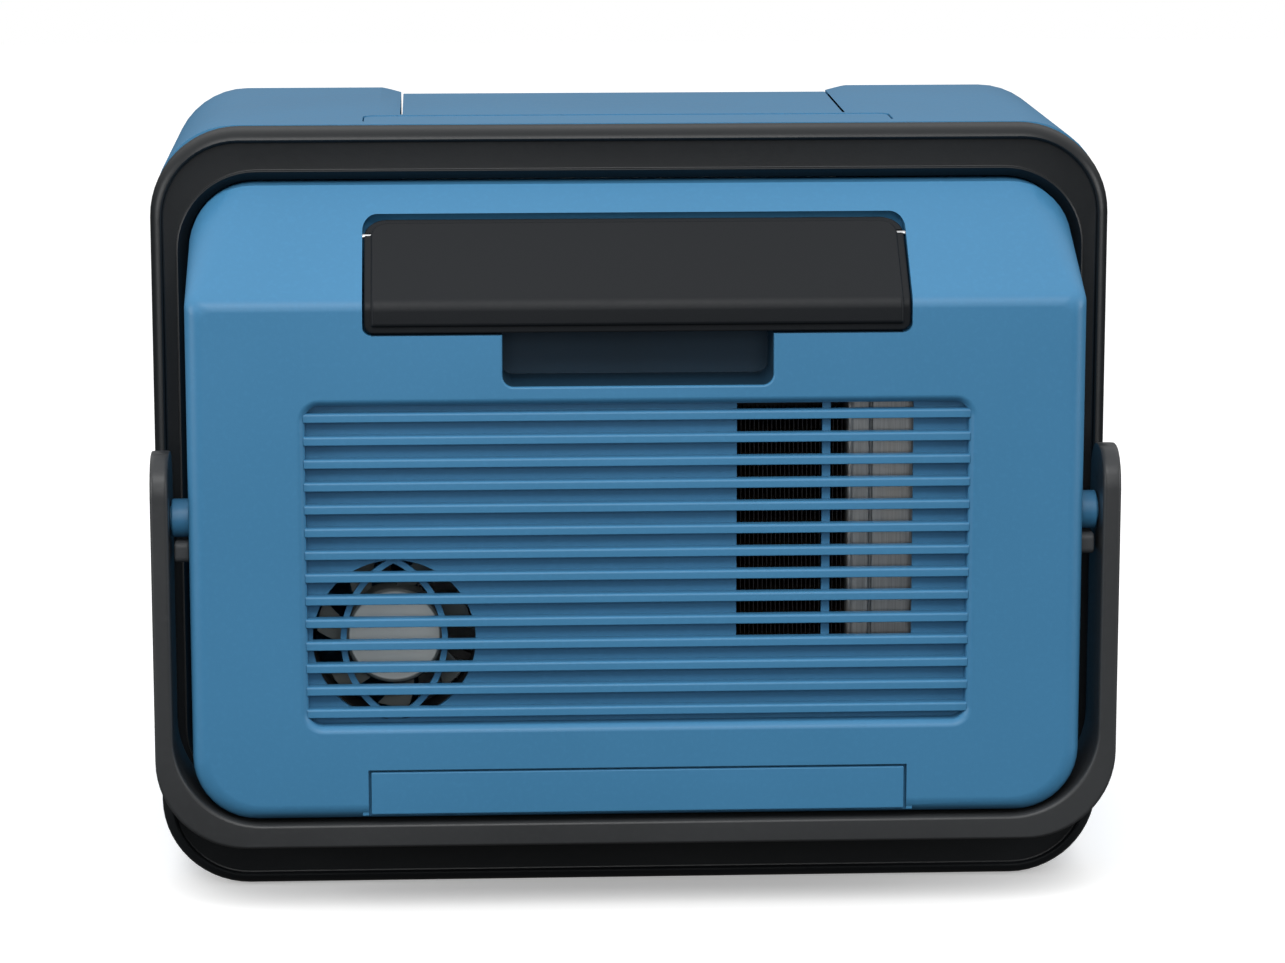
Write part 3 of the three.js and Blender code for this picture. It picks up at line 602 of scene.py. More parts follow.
def ring_recipe():
    """Sets copies of a piece in a ring, turned about an axis along Y through a centre."""
    tree = Recipe("Ring of pieces", Count=7, Centre=(0.0, 0.0, 0.0), First_Angle=0.0)
    line = tree.node("GeometryNodeMeshLine", None, {
        "Count": tree.inputs["Count"], "Offset": (0.0, 0.0, 0.0),
    })
    index = Number(tree, tree.node("GeometryNodeInputIndex").outputs[0])
    turn = index * (2 * pi) / Number(tree, tree.inputs["Count"])
    turn = turn + Number(tree, tree.inputs["First Angle"])
    angles = tree.node("ShaderNodeCombineXYZ", None, {"Y": turn})
    copies = tree.node("GeometryNodeInstanceOnPoints", None, {
        "Points": line.outputs[0], "Instance": tree.inputs["Piece"],
        "Rotation": angles.outputs[0],
    })
    moved = tree.node("GeometryNodeTransform", None, {
        "Geometry": copies.outputs[0], "Translation": tree.inputs["Centre"],
    })
    return tree.end(moved.outputs[0])


def repeat(obj, recipe, finish, **inputs):
    """Repeats an object by a recipe and leaves one plain mesh."""
    group = recipe()
    step = obj.modifiers.new("repeat", "NODES")
    step.node_group = group
    values = {key.replace("_", " "): value for key, value in inputs.items()} | {"Finish": finish}
    for item in group.interface.items_tree:
        if item.item_type == "SOCKET" and item.in_out == "INPUT" and item.name in values:
            step[item.identifier] = values[item.name]
    return settle(obj)


# ---- settings a user may change ----
def size(name, about, millimetres):
    return FloatProperty(
        name=name, description=about, default=millimetres * MM, unit="LENGTH", precision=4
    )


def tint(name, about, colour):
    return FloatVectorProperty(
        name=name, description=about, subtype="COLOR", size=3, min=0.0, max=1.0, default=colour
    )


class IceMakerSizes(bpy.types.PropertyGroup):
    edge: size("Edge rounding", "Radius of the small moulded edges", 0.5)
    crease: size("Crease rounding", "Radius where the rear face turns into the slanted top", 6.0)
    rear_edge: size("Rear edge rounding", "Radius round the rear face of the casing", 6.0)
    lip: size("Band lip", "Width of the raised lip round the band", 4.2)
    slat_height: size("Slat height", "Height of one slat of the grille", 3.1)
    slat_depth: size("Slat depth", "Depth of one slat of the grille", 4.9)
    slat_pitch: size("Slat pitch", "Distance from slat to slat", 7.92)
    slats: IntProperty(
        name="Slats", description="Number of slats in the grille", default=14, min=2
    )
    tube_pitch: size("Condenser tube pitch", "Distance from tube to tube", 7.92)
    fins: IntProperty(
        name="Fins", description="Number of fins in one row of the condenser", default=70, min=2
    )
    blades: IntProperty(name="Blades", description="Number of fan blades", default=7, min=3)
    ledge: size("Flap ledge", "Width of the lowered ledge round the flap", 2.4)


class IceMakerColours(bpy.types.PropertyGroup):
    case: tint("Casing", "Blue of the outer casing", (0.047, 0.187, 0.345))
    band: tint("Band", "Black of the band", (0.008, 0.0095, 0.011))
    handle: tint("Handle", "Black of the carry handle", (0.034, 0.036, 0.038))
    flap: tint("Flap", "Black of the rear flap", (0.0075, 0.009, 0.011))
    panel: tint("Control panel", "Black of the control panel", SLOT_COLOUR["panel_black"])
    keys: tint("Keys", "Grey of the keys", SLOT_COLOUR["button_grey"])
    trim: tint("Trim", "Grey of the base and small parts", SLOT_COLOUR["trim_grey"])
    liner: tint("Liner", "White of the inner liner", SLOT_COLOUR["liner_white"])
    metal: tint("Bare metal", "Colour of plain aluminium", SLOT_COLOUR["aluminium"])
    rotor: tint("Fan rotor", "Grey of the fan blades", (0.17, 0.19, 0.185))


class IceMakerStage(bpy.types.PropertyGroup):
    focal: FloatProperty(
        name="Focal length", description="Lens of the camera", default=122.1, unit="CAMERA"
    )
    sky: FloatProperty(name="Sky", description="Strength of the light from above", default=0.84)
    key: FloatProperty(
        name="Key light", description="Power of the soft light above the rear face", default=6.0,
        subtype="POWER",
    )
    sides: FloatProperty(
        name="Side lights", description="Power of each soft light at the sides", default=5.0,
        subtype="POWER",
    )
    fill: FloatProperty(
        name="Fill light", description="Power of the soft light from behind the camera",
        default=5.0, subtype="POWER",
    )
    floor: FloatVectorProperty(
        name="Floor", description="Colour of the floor", subtype="COLOR", default=(0.93,) * 3
    )


FINISHES = {}


def finish(slot):
    """The finish of one material slot of the record, made once."""
    if FINISHES:
        return FINISHES[slot]
    c = bpy.context.scene.ice_maker_colours
    colour = dict(SLOT_COLOUR)
    FINISHES.update(
        case_blue=moulded("case_blue", tuple(c.case), 0.4, tone=0.035),
        frame_black=moulded("frame_black", tuple(c.band), 0.36, tone=0.12, rub=0.06),
        handle_black=moulded("handle_black", tuple(c.handle), 0.38, tone=0.12, rub=0.12),
        flap_black=moulded("flap_black", tuple(c.flap), 0.46, tone=0.06, rub=0.04, shine=0.2),
        panel_black=moulded("panel_black", tuple(c.panel), 0.12, 300.0, 0.00001, 0.05),
        button_grey=moulded("button_grey", tuple(c.keys), 0.4, tone=0.04),
        trim_grey=moulded("trim_grey", tuple(c.trim), 0.5, tone=0.1, rub=0.1),
        liner_white=moulded("liner_white", tuple(c.liner), 0.22, 500.0, 0.00002, 0.02),
        window_clear=clear("window_clear", (0.62, 0.7, 0.74), 0.04, 0.94, 0.08),
        basket_clear=clear("basket_clear", (0.78, 0.86, 0.9), 0.28, 0.75, 0.15),
        hose_clear=clear("hose_clear", (0.82, 0.85, 0.86), 0.4, 0.55, 0.15),
        rubber_black=rubber("rubber_black", colour["rubber_black"]),
        steel=brushed("steel", colour["steel"], rough=0.24),
        aluminium=brushed("aluminium", tuple(c.metal), (1.0, 1.0, 0.03), 0.42),
        condenser_black=moulded("condenser_black", colour["condenser_black"], 0.55, 900.0),
        copper=drawn_tube("copper", colour["copper"]),
        compressor_paint=painted_can("compressor_paint", colour["compressor_paint"]),
        board_green=circuit("board_green", colour["board_green"]),
        fan_black=moulded("fan_black", colour["fan_black"], 0.5, tone=0.1),
        rotor_grey=fan_label("rotor_grey", tuple(c.rotor), (0.8, 0.82, 0.78)),
        # painted shade: the casing blue darkened to a fifth, standing in for the shadow deep inside
        # the finger pocket
        pocket_shade=moulded("pocket_shade", shade(tuple(c.case), 0.2), 0.5, tone=0.05),
        tube_brown=brushed("tube_brown", (0.3, 0.2, 0.15), rough=0.4, stain=(0.1, 0.07, 0.05)),
    )
    return FINISHES[slot]


# ---- casing ----
def crease_fillet(radius):
    """Length of the rounding of the crease on either side of it."""
    return radius * tan((pi / 2 - SLANT) / 2)


def rear_top(y, radius):
    """Height of the rear shell's top edge at one distance from the rear face."""
    reach = crease_fillet(radius)
    if y < reach * cos(SLANT):
        angle = (1 - y / radius)
        return CREASE - reach + radius * sqrt(max(1 - angle**2, 0.0))
    return min(CREASE + y * tan(SLANT), REAR_HIGH)


def rear_ring(y, sizes, inset=0.0):
    """The rear shell's outline at one distance from the rear face, or its inside at an inset."""
    edge = sizes.rear_edge / MM
    pull = 0.0 if inset else round_off(y, edge)
    high = rear_top(y, sizes.crease / MM) - inset / cos(SLANT)
    r_high = 4.0 + 18.0 * min(y / SLANT_RUN, 1.0) - inset
    half = REAR_HALF - pull - inset
    r_low = 22.0 - pull * 0.6 - inset
    low = REAR_LOW + pull + inset
    return [(x, y, z) for x, z in round_rect(-half, half, low, high, r_low, r_high, 10)]


def seat_cutter():
    """The room behind the flap, open to the rear and down to the finger pocket."""
    low = FLAP_BOX[4] - 0.7
    side = [(-5, low), (38, low), (38, 232), on_slant(43, 6), on_slant(43, -9), (-5, 228)]
    half = FLAP_BOX[1] + 0.6
    view = round_rect(-half, half, low, on_slant(FLAP_ALONG)[1] + 0.9, 3, 5, 8)
    return common(prism("X", side, -half, half), prism("Y", view, -6, 60))


def grille_ring(inset, y):
    """The outline of the grille's recess, pulled in at a distance from the rear face."""
    half, r = GRILLE_HALF - inset, max(GRILLE_CORNER - inset, 3.0)
    outline = round_rect(-half, half, GRILLE_LOW + inset, GRILLE_HIGH - inset, r, r, 8)
    return [(x, y, z) for x, z in outline]


def pocket_ring(inset, y):
    """The outline of the finger pocket, which has a lit sill."""
    half = POCKET_HALF - inset
    outline = round_rect(-half, half, POCKET_LOW + inset, 215, max(4.5 - inset, 1.5), 3, 6)
    return [(x, y, z) for x, z in outline]


def build_rear_shell(sizes):
    edge = sizes.rear_edge / MM
    stations = [edge * (1 - cos(radians(a))) for a in range(0, 90, 15)]
    stations += [edge, 9, 14, 20, 27, 34, SLANT_RUN, 50, REAR_BOX[3]]
    shell = skin("rear_shell", [rear_ring(y, sizes) for y in stations])
    inside = skin("inside", [rear_ring(y, sizes, WALL) for y in (WALL, SLANT_RUN, REAR_BOX[3] + 4)])
    carve(shell, inside)
    side = [(1, 203), (40.4, 203), (40.4, 241), (36, 244), (1.4, 216)]
    weld(shell, prism("X", side, -97, 97), block(-49.4, 49.4, 1, 30, 184.4, 206),
         block(-95, 95, 1, 20, 37.6, 56))
    cover_half, cover_high = COVER_BOX[1], COVER_BOX[5]
    cuts = [
        seat_cutter(),
        skin("pocket", [pocket_ring(-0.5, -1), pocket_ring(0, 0), pocket_ring(0.5, 0.3),
                        pocket_ring(0.8, 0.9), pocket_ring(0.8, POCKET_DEEP)]),
        block(-cover_half + 3, cover_half - 3, -2, 17.6, 39, cover_high - 3),
        block(-cover_half - 0.9, cover_half + 0.9, -2, 3, 37.2, cover_high + 0.9),
        skin("mouth", [grille_ring(-0.6, -1), grille_ring(0, 0), grille_ring(1.5, 1.0),
                       grille_ring(2.4, 2.2), grille_ring(2.6, 3.2), grille_ring(2.6, 5)]),
        prism("Y", disc(-60, 44.5, 4.6, 32), 15, 25),
        prism("X", disc(30, 214, 4, 32), -100, -90),
    ]
    carve(shell, *cuts, *rods(*on_slant(PIN_ALONG, PIN_DEPTH), 1.3, 93, 96.4, 24))
    soften(shell, sizes.edge / MM)
    present(shell, "rear_shell_skin", "case", "case_blue", "rear_shell")
    # Painted shade: faces whose centres lie deep in the finger pocket take the much darker blue,
    # standing in for the shadow under the flap.
    shell.data.materials.append(finish("pocket_shade"))
    for face in shell.data.polygons:
        x, y, z = face.center / MM
        deep = POCKET_SILL < y - REAR_Y / MM < POCKET_DEEP + 0.4
        if deep and abs(x) < POCKET_HALF + 1.2 and POCKET_LOW - 2.4 < z < FLAP_BOX[4] + 0.4:
            face.material_index = 1


def build_band(sizes):
    """One closed profile run round the band: lit lip, dark face, thin ridge, inner slope."""
    lip = sizes.lip / MM
    start, end = BAND_BOX[2], BAND_BOX[3]

    def outer(inset, y):
        half, r = BAND_HALF - inset, CORNER - inset
        return [(x, y, z) for x, z in round_rect(-half, half, inset, HEIGHT - inset, r, r, 14)]

    def inner(grow, y):
        half = REAR_HALF + 0.8 + grow
        low, high = REAR_LOW - 0.8 - grow, REAR_HIGH + 0.8 + grow
        outline = round_rect(-half, half, low, high, 22.8 + grow, 24 + grow, 14)
        return [(x, y, z) for x, z in outline]

    rings = [
        outer(0, start + 7), outer(0.15, start + 4.6), outer(0.8, start + 2.6),
        outer(1.8, start + 1.1), outer(2.9, start + 0.25), outer(lip - 0.5, start),
        outer(lip, start + 0.3), outer(lip + 0.35, start + 1.9), outer(lip + 0.9, start + 2.2),
        inner(4.2, start + 2.2), inner(3.9, start + 2.0), inner(3.7, start + 1.2),
        inner(3.4, start + 1.0), inner(3.0, start + 1.3), inner(0.5, start + 5.5),
        inner(0.1, start + 6.4), inner(0, start + 7.4), inner(0, end - 0.6), inner(0.5, end),
        outer(2.2, end), outer(0.6, end - 0.6), outer(0, end - 2.4),
    ]
    band = skin("frame_band", rings, loop=True)
    soften(band, 0)
    present(band, "frame_band_ring", "case", "frame_black", "frame_band")


RIDGE_ROUND = 10.0
SLOPE_TURN = atan2(HEIGHT - SLOPE_END, SLOPE_RUN)
RIDGE_REACH = RIDGE_ROUND * tan(SLOPE_TURN / 2)


def ridge_arc(depth, steps=8):
    """Points over the rounded ridge, from the flat top to the slope, at a depth below the skin."""
    cy, cz, r = RIDGE - RIDGE_REACH, HEIGHT - RIDGE_ROUND, RIDGE_ROUND - depth
    turns = [SLOPE_TURN * i / steps for i in range(steps + 1)]
    return [(cy + r * sin(t), cz + r * cos(t)) for t in turns]


def front_top(y):
    """Height of the front shell's top at one distance from the rear face."""
    start = RIDGE - RIDGE_REACH
    if y <= start:
        return HEIGHT
    if y < start + RIDGE_ROUND * sin(SLOPE_TURN):
        return HEIGHT - RIDGE_ROUND + sqrt(RIDGE_ROUND**2 - (y - start) ** 2)
    if y < RIDGE + SLOPE_RUN:
        return HEIGHT - (y - RIDGE) * (HEIGHT - SLOPE_END) / SLOPE_RUN
    return SLOPE_END - 14 * ease((y - RIDGE - SLOPE_RUN) / (DEPTH - RIDGE - SLOPE_RUN))


def front_ring(y, inset=0.0):
    front = DEPTH - inset
    half = FRONT_HALF - inset - round_off(front - y, 26 - inset)
    low = FRONT_LOW + inset + round_off(front - y, 9 - inset)
    drop = inset * (1.0 if y < RIDGE - 6 else 2.15)
    outline = round_rect(-half, half, low, front_top(y) - drop, 18 - inset, 28 - inset, 10)
    return [(x, y, z) for x, z in outline]


def build_front_shell(sizes):
    stations = [FRONT_FROM, 120, 180] + [p[0] for p in ridge_arc(0)]
    stations += [199, 203, 207, 210, 213, 216, 219, 222, 225, 227, 229, 231, 232, 233, 234]
    stations += [234.8, 235.4, 235.8, DEPTH]
    shell = skin("front_shell", [front_ring(y) for y in stations])
    inner = [FRONT_FROM - 4, 120, 180, 187, 190, 193, 196, 199, 207, 213, 219, 224, 228, 230, 232]
    carve(shell, skin("inside", [front_ring(y, WALL) for y in inner + [233.2, DEPTH - WALL]]))
    top = HEIGHT - 2.4
    channel = [(-91, HEIGHT + 1), (-80.4, top), (-80.4, 190),
               (80.4, 190), (80.4, top), (91, HEIGHT + 1)]
    lid_low = cad("lid_frame")[4]
    room = [(80, 230), (80, 300), (300, 300), (300, lid_low - 1.2), (180, lid_low - 1.2)]
    carve(shell, common(prism("Y", channel, 92, DEPTH + 1), prism("X", room, -100, 100)))
    weld(shell, block(-84, 84, 89.6, 92, 256.4, 268), *[
        block(side * 83.4 - 2.4, side * 83.4 + 2.4, 90, 104, 256.4, 268.2) for side in (-1, 1)])
    left, right = cad("control_panel")[:2]
    seat = [on_slope(11, 0.9), on_slope(11, -4), on_slope(75, -4), on_slope(75, 0.9)]
    cuts = [
        *rods(HINGE_Y, HINGE_Z, 1.9, 79, 84, 24),
        prism("Z", round_rect(-93.4, 93.4, 67, 89.6, 4.4), HEIGHT - 1.6, HEIGHT + 1),
        prism("X", seat, left - 0.5, right + 0.5),
        prism("Z", round_rect(-150, 150, FRONT_FROM - 10, DEPTH - 16, 0.5, 14), -1, 9),
    ]
    carve(shell, *cuts, *[slope_rod(5.2, x, along, -2, 8) for x, along in key_places()])
    soften(shell, sizes.edge / MM)
    present(shell, "front_shell_skin", "case", "case_blue", "front_shell")


def slope_slab(half, start, end, corner, shallow, deep):
    """A rounded slab square to the sloped front, between two depths below its skin."""
    outline = round_rect(-half, half, start, end, corner)
    rings = [[(x, *on_slope(along, d)) for x, along in outline] for d in (shallow, deep)]
    return skin("slab", rings)


def slope_disc(radius, x, along, depth, steps):
    """A circle of points parallel to the sloped front, at a depth below its skin."""
    y, z = on_slope(along, depth)
    return [(x + a, y + b * SLOPE_Y, z + b * SLOPE_Z) for a, b in disc(0, 0, radius, steps)]


def slope_rod(radius, x, along, start, end, steps=32):
    """A rod square to the sloped front; start and end are depths below its skin."""
    return skin("rod", [slope_disc(radius, x, along, depth, steps) for depth in (start, end)])


def key_places():
    """Across and along the slope for the power, size and clean keys."""
    left, right = cad("control_panel")[:2]
    x = (left + right) / 2
    return [(x - 15, 58), (x + 15, 58), (x, 38)]


def build_covers(sizes):
    half, high = COVER_BOX[1], COVER_BOX[5]
    low = COVER_BOX[4]
    cover = weld(
        block(-half, half, 0, 2.6, low, high),
        *[block(x - 6, x + 6, 2.5, 9, 41, 43) for x in (-62, 62)],
    )
    soften(cover, sizes.edge / MM)
    present(cover, "bottom_cover_plate", "case", "case_blue", "bottom_cover")
    left, right, rear, front, low, high = cad("top_strip")
    strip = prism("Z", round_rect(left, right, rear, front, 4), low, high)
    soften(strip, 0.3)
    present(strip, "top_strip_plate", "case", "case_blue", "top_strip")


# ---- rear grille ----
def build_grille(sizes):
    front, plate = cad("rear_grille")[3], GRILLE_PLATE
    tray = skin("rear_grille", [
        grille_ring(0.4, front), grille_ring(0.4, WALL + 0.1), grille_ring(2.6, WALL + 0.1),
        grille_ring(2.6, 3.0), grille_ring(2.8, plate),
    ])
    windows = [(34, 63.3), (66.1, 94.6)]
    cuts = [block(a, b, 5, 14, 97.6, 180) for a, b in windows]
    cuts.append(skin("room", [grille_ring(3.0, plate + PLATE_THICK), grille_ring(3.0, front + 1)]))
    cuts.append(prism("Y", disc(FAN_X, FAN_Z, FAN_HOLE, 64), 5, 14))
    carve(tray, *cuts)
    for side in (-1, 1):
        x = FAN_X + side * GUARD_SHIFT
        guard = carve(
            prism("Y", disc(x, FAN_Z, GUARD_OUTER, 96), plate + 0.2, plate + PLATE_THICK - 0.2),
            prism("Y", disc(x, FAN_Z, GUARD_INNER, 96), plate - 1, plate + 3),
        )
        reach = disc(FAN_X, FAN_Z, FAN_HOLE + 1, 64)
        weld(tray, common(guard, prism("Y", reach, plate - 1, plate + 3)))
    soften(tray, 0.35)
    present(tray, "rear_grille_tray", "case", "case_blue", "rear_grille")

    height, depth, pitch = sizes.slat_height / MM, sizes.slat_depth / MM, sizes.slat_pitch / MM
    outline = round_rect(SLAT_FRONT, SLAT_FRONT + depth, SLAT_TOP - height, SLAT_TOP, 0.3, 0.9, 5)
    slat = prism("X", outline, -GRILLE_HALF + 2.2, GRILLE_HALF - 2.2)
    repeat(slat, row_recipe, finish("case_blue"), Count=sizes.slats, Step=(0, 0, -pitch * MM))
    soften(slat, 0)
    present(slat, "rear_grille_slats", "case", "case_blue")


# ---- carry handle ----
def build_handle():
    half, rear, front = HANDLE_BOX[1], HANDLE_BOX[2], HANDLE_BOX[3]
    low, top = HANDLE_BOX[4], HANDLE_BOX[5]
    tip = 13.0

    def path(outer):
        """Points down one arm, along the bar and up the other arm."""
        h, z = (half, low) if outer else (half - ARM, low + BAR)
        arms = [top - 0.01, top - 0.6, top - 1.6, top - 3.2, top - 5.4, top - 8, top - tip, 110, 80]
        turns = [radians(-90 * i / 16) for i in range(17)]
        right = [(h, a) for a in arms]
        right += [(h - CORNER + CORNER * cos(t), z + CORNER + CORNER * sin(t)) for t in turns]
        return right + [(-x, a) for x, a in reversed(right)]

    rings = []
    for (ox, oz), (ix, iz) in zip(path(True), path(False)):
        pull = round_off(top - (oz + iz) / 2, tip) if (oz + iz) / 2 > top - tip else 0.0
        thick = hypot(ox - ix, oz - iz)
        y0, y1 = rear + pull, front - pull
        section = round_rect(0, thick, y0, y1, 1.5, 1.5, 4)
        rings.append([
            (ox + (ix - ox) * t / thick, y, oz + (iz - oz) * t / thick) for t, y in section
        ])
    handle = skin("carry_handle", rings)
    carve(handle, *rods(PIVOT_Y, PIVOT_Z, 4.4, half - ARM - 1, half - ARM + 3.6, 32))
    soften(handle, 0.3, 2, 50)
    present(handle, "carry_handle_strap", "handle", "handle_black", "carry_handle")


def build_pivots():
    for word, side in (("left", -1), ("right", 1)):
        wall, face = REAR_HALF + 0.3, HANDLE_BOX[1] - ARM
        profile = [(6.6, wall), (6.6, face - 0.9), (6.2, face - 0.5), (5.2, face - 0.4),
                   (4.1, face - 0.4), (4.1, face + 2.8), (3.7, face + 3.2)]
        boss = turned("pivot", "X", (0, PIVOT_Y, PIVOT_Z), [(r, side * d) for r, d in profile])
        soften(boss, 0)
        present(boss, f"handle_pivot_{word}_boss", "case", "case_blue", f"handle_pivot_{word}")
        left, right, rear, front, low, high = cad(f"handle_bumper_{word}")
        pad = prism("X", round_rect(rear, front, low, high, 2.2, 2.2, 6), left, right)
        soften(pad, 0.8, 3)
        present(pad, f"handle_bumper_{word}_pad", "case", "trim_grey",
                f"handle_bumper_{word}")


# ---- rear flap ----
def flap_place(x, along, depth, radius):
    """A point of the flap: across, along from its low edge over the crease, below its skin."""
    s = along - (CREASE - FLAP_BOX[4])
    reach = crease_fillet(radius)
    turn = pi / 2 - SLANT
    if s <= -reach:
        return (x, depth, CREASE + s)
    if s >= reach:
        y, z = on_slant(s, depth)
        return (x, y, z)
    angle = turn * (s + reach) / (2 * reach)
    r = radius - depth
    return (x, radius - r * cos(angle), CREASE - reach + r * sin(angle))


def build_flap(sizes):
    radius, ledge = sizes.crease / MM, sizes.ledge / MM
    half, low = FLAP_BOX[1], FLAP_BOX[4]
    length = CREASE - low + FLAP_ALONG

    def ring(inset, depth):
        r_low, r_high = max(3 - inset, 0.6), max(8 - inset, 1.2)
        outline = round_rect(-half + inset, half - inset, inset, length - inset, r_low, r_high, 8)
        return [(x, depth, s) for x, s in outline]

    layers = [
        (0.6, 3.0), (0.2, 2.9), (0.0, 2.7), (0.0, 1.5), (0.2, 1.3), (0.6, 1.2),
        (ledge - 0.3, 1.2), (ledge, 1.0), (ledge + 0.1, 0.5), (ledge + 0.5, 0.1), (ledge + 1.2, 0),
    ]
    leaf = skin("rear_flap", [ring(*layer) for layer in layers])
    bm = bmesh.new()
    bm.from_mesh(leaf.data)
    reach = crease_fillet(radius)
    for i in range(9):
        height = CREASE - low + reach * (i / 4 - 1)
        bmesh.ops.bisect_plane(
            bm, geom=bm.verts[:] + bm.edges[:] + bm.faces[:],
            plane_co=(0, 0, height * MM), plane_no=(0, 0, 1), dist=1e-7,
        )
    for v in bm.verts:
        flat = (v.co.x / MM, v.co.z / MM, (v.co.y - REAR_Y) / MM)
        v.co = spot(*flap_place(flat[0], flat[1], flat[2], radius))
    bm.to_mesh(leaf.data)
    bm.free()
    barrels = rods(*on_slant(PIN_ALONG, PIN_DEPTH + 1.1), 1.9, 78, half - 1, 24)
    pull = prism("X", round_rect(2.6, 6, low + 0.2, low + 1.8, 0.5), -40, 40)
    weld(leaf, pull, *barrels)
    carve(leaf, *rods(*on_slant(PIN_ALONG, PIN_DEPTH), 1.3, 84, 95, 20))
    soften(leaf, 0, smooth=40)
    present(leaf, "rear_flap_leaf", "flap", "flap_black", "rear_flap")


# ---- fan and condenser ----
def build_fan(sizes):
    left, right, rear, front, low, high = cad("fan_frame")
    frame_box = prism("Y", round_rect(left, right, low, high, 4.5, 4.5, 8), rear, front)
    bell = [(31, rear - 1), (30, rear), (28.6, rear + 1), (28.2, rear + 2.2), (28.2, front - 2),
            (29.4, front), (30, front + 1)]
    carve(frame_box, turned("bell", "Y", (FAN_X, 0, FAN_Z), bell, 64))
    centre = (FAN_X, 0, FAN_Z)
    boss = turned("boss", "Y", centre, [(15, front - 3), (15, front - 0.4), (14.6, front)])
    struts = []
    for i in range(3):
        a = 2 * pi * i / 3 + 0.4
        along, across = (cos(a), -sin(a)), (sin(a), cos(a))
        corners = [(r * along[0] + w * across[0] + FAN_X, r * along[1] + w * across[1] + FAN_Z)
                   for r, w in ((5, -1.6), (29.4, -1.6), (29.4, 1.6), (5, 1.6))]
        struts.append(prism("Y", corners, front - 2.6, front))
    weld(frame_box, boss, *struts)
    carve(frame_box, *[prism("Y", disc(FAN_X + x, FAN_Z + z, 2, 24), rear - 1, front + 1)
                       for x in (-25, 25) for z in (-25, 25)])
    soften(frame_box, 0.35)
    present(frame_box, "fan_frame_body", "case", "fan_black", "fan_frame")

    rear, front = cad("fan_rotor")[2:4]
    hub = turned("hub", "Y", centre, [
        (14.5, rear + 0.35), (15.6, rear), (16.4, rear + 0.3), (17, rear + 1.2), (17, front)])
    section = [(-0.5, 0), (-0.25, 1), (0, 1), (0.25, 1),
               (0.5, 0), (0.25, -1), (0, -1), (-0.25, -1)]
    span, rings = 26.6, []
    for step in range(9):
        r = 15.5 + (span - 15.5) * step / 8
        twist, sweep = radians(52 - 16 * step / 8), radians(16 * step / 8)
        chord, ring = 9.5 + 3.5 * step / 8, []
        for t, side in section:
            across = chord * t
            camber = 1.1 * (1 - 4 * t * t)
            thick = 0.55 * side
            a = sweep + across * cos(twist) / r
            y = (rear + front) / 2 + 0.2 + across * sin(twist) * 0.9 + (camber + thick) * cos(twist)
            ring.append((r * sin(a), y, r * cos(a)))
        rings.append(ring)
    blade = skin("blade", rings)
    blade.data.transform(Matrix.Translation(-Vector((0, REAR_Y, 0))))
    repeat(blade, ring_recipe, finish("rotor_grey"), Count=sizes.blades,
           Centre=spot(*centre), First_Angle=0.2)
    rotor = join("fan_rotor", hub, blade)
    soften(rotor, 0)
    present(rotor, "fan_rotor_blades", "fan", "rotor_grey", "fan_rotor")

    screws = []
    for x, z in ((-25, 25), (25, -25)):
        head = turned("screw", "Y", (FAN_X + x, 0, FAN_Z + z), [
            (1.7, 12.8), (1.7, 27.8), (3.4, 27.8), (3.4, 28.6), (2.8, 29.6), (1.6, 30.0)], 24)
        slots = [block(FAN_X + x - a, FAN_X + x + a, 29.0, 31, FAN_Z + z - b, FAN_Z + z + b)
                 for a, b in ((2.1, 0.4), (0.4, 2.1))]
        screws.append(carve(head, *slots))
    screw = weld(*screws)
    soften(screw, 0)
    present(screw, "fan_screws_pair", "case", "steel", "fan_screw_1", "fan_screw_2")


def build_condenser(sizes):
    left, right, rear, front, low, high = cad("condenser_core")
    pitch, rows = sizes.tube_pitch / MM, 11
    top = low + (rows - 0.5) * pitch
    while top + 1 > HIGHEST_TUBE:
        top -= pitch
        rows -= 1
    tube = prism("X", round_rect(rear + 0.6, front - 0.6, top - 0.8, top + 0.8, 0.7), left, right)
    repeat(tube, row_recipe, finish("tube_brown"), Count=rows, Step=(0, 0, -pitch * MM))
    soften(tube, 0)
    present(tube, "condenser_tubes", "case", "copper", look="tube_brown")

    gap = (right - left) / sizes.fins
    fin = block(left + 0.4, left + 0.65, rear + 1.6, front - 1.6, top + 0.6, top + pitch - 0.6)
    repeat(fin, row_recipe, finish("condenser_black"), Count=sizes.fins, Step=(gap * MM, 0, 0))
    repeat(fin, row_recipe, finish("condenser_black"), Count=rows, Step=(0, 0, -pitch * MM))
    backing = soften(block(left, right, front - 4.2, front - 3.2, low, high), 0)
    fins = join("condenser_fins", fin, backing)
    present(fins, "condenser_fins", "case", "condenser_black", "condenser_core")

    for word in ("left", "right"):
        left, right, rear, front, low, high = cad(f"condenser_header_{word}")
        tank = prism("Z", round_rect(left, right, rear, front, 3, 3, 6), low, high)
        if word == "right":
            seam = left + (right - left) * 0.3
            carve(tank, block(seam - 0.5, seam + 0.5, rear - 1, rear + 0.9, low - 1, high + 1))
        soften(tank, 0.5)
        present(tank, f"condenser_header_{word}_tank", "case", "aluminium",
                f"condenser_header_{word}")


def join(name, *parts):
    """Several objects of one body as one mesh."""
    bm = bmesh.new()
    for part in parts:
        bm.from_mesh(part.data)
        bpy.data.objects.remove(part)
    mesh = bpy.data.meshes.new(name)
    bm.to_mesh(mesh)
    bm.free()
    obj = bpy.data.objects.new(name, mesh)
    bpy.context.scene.collection.objects.link(obj)
    return obj


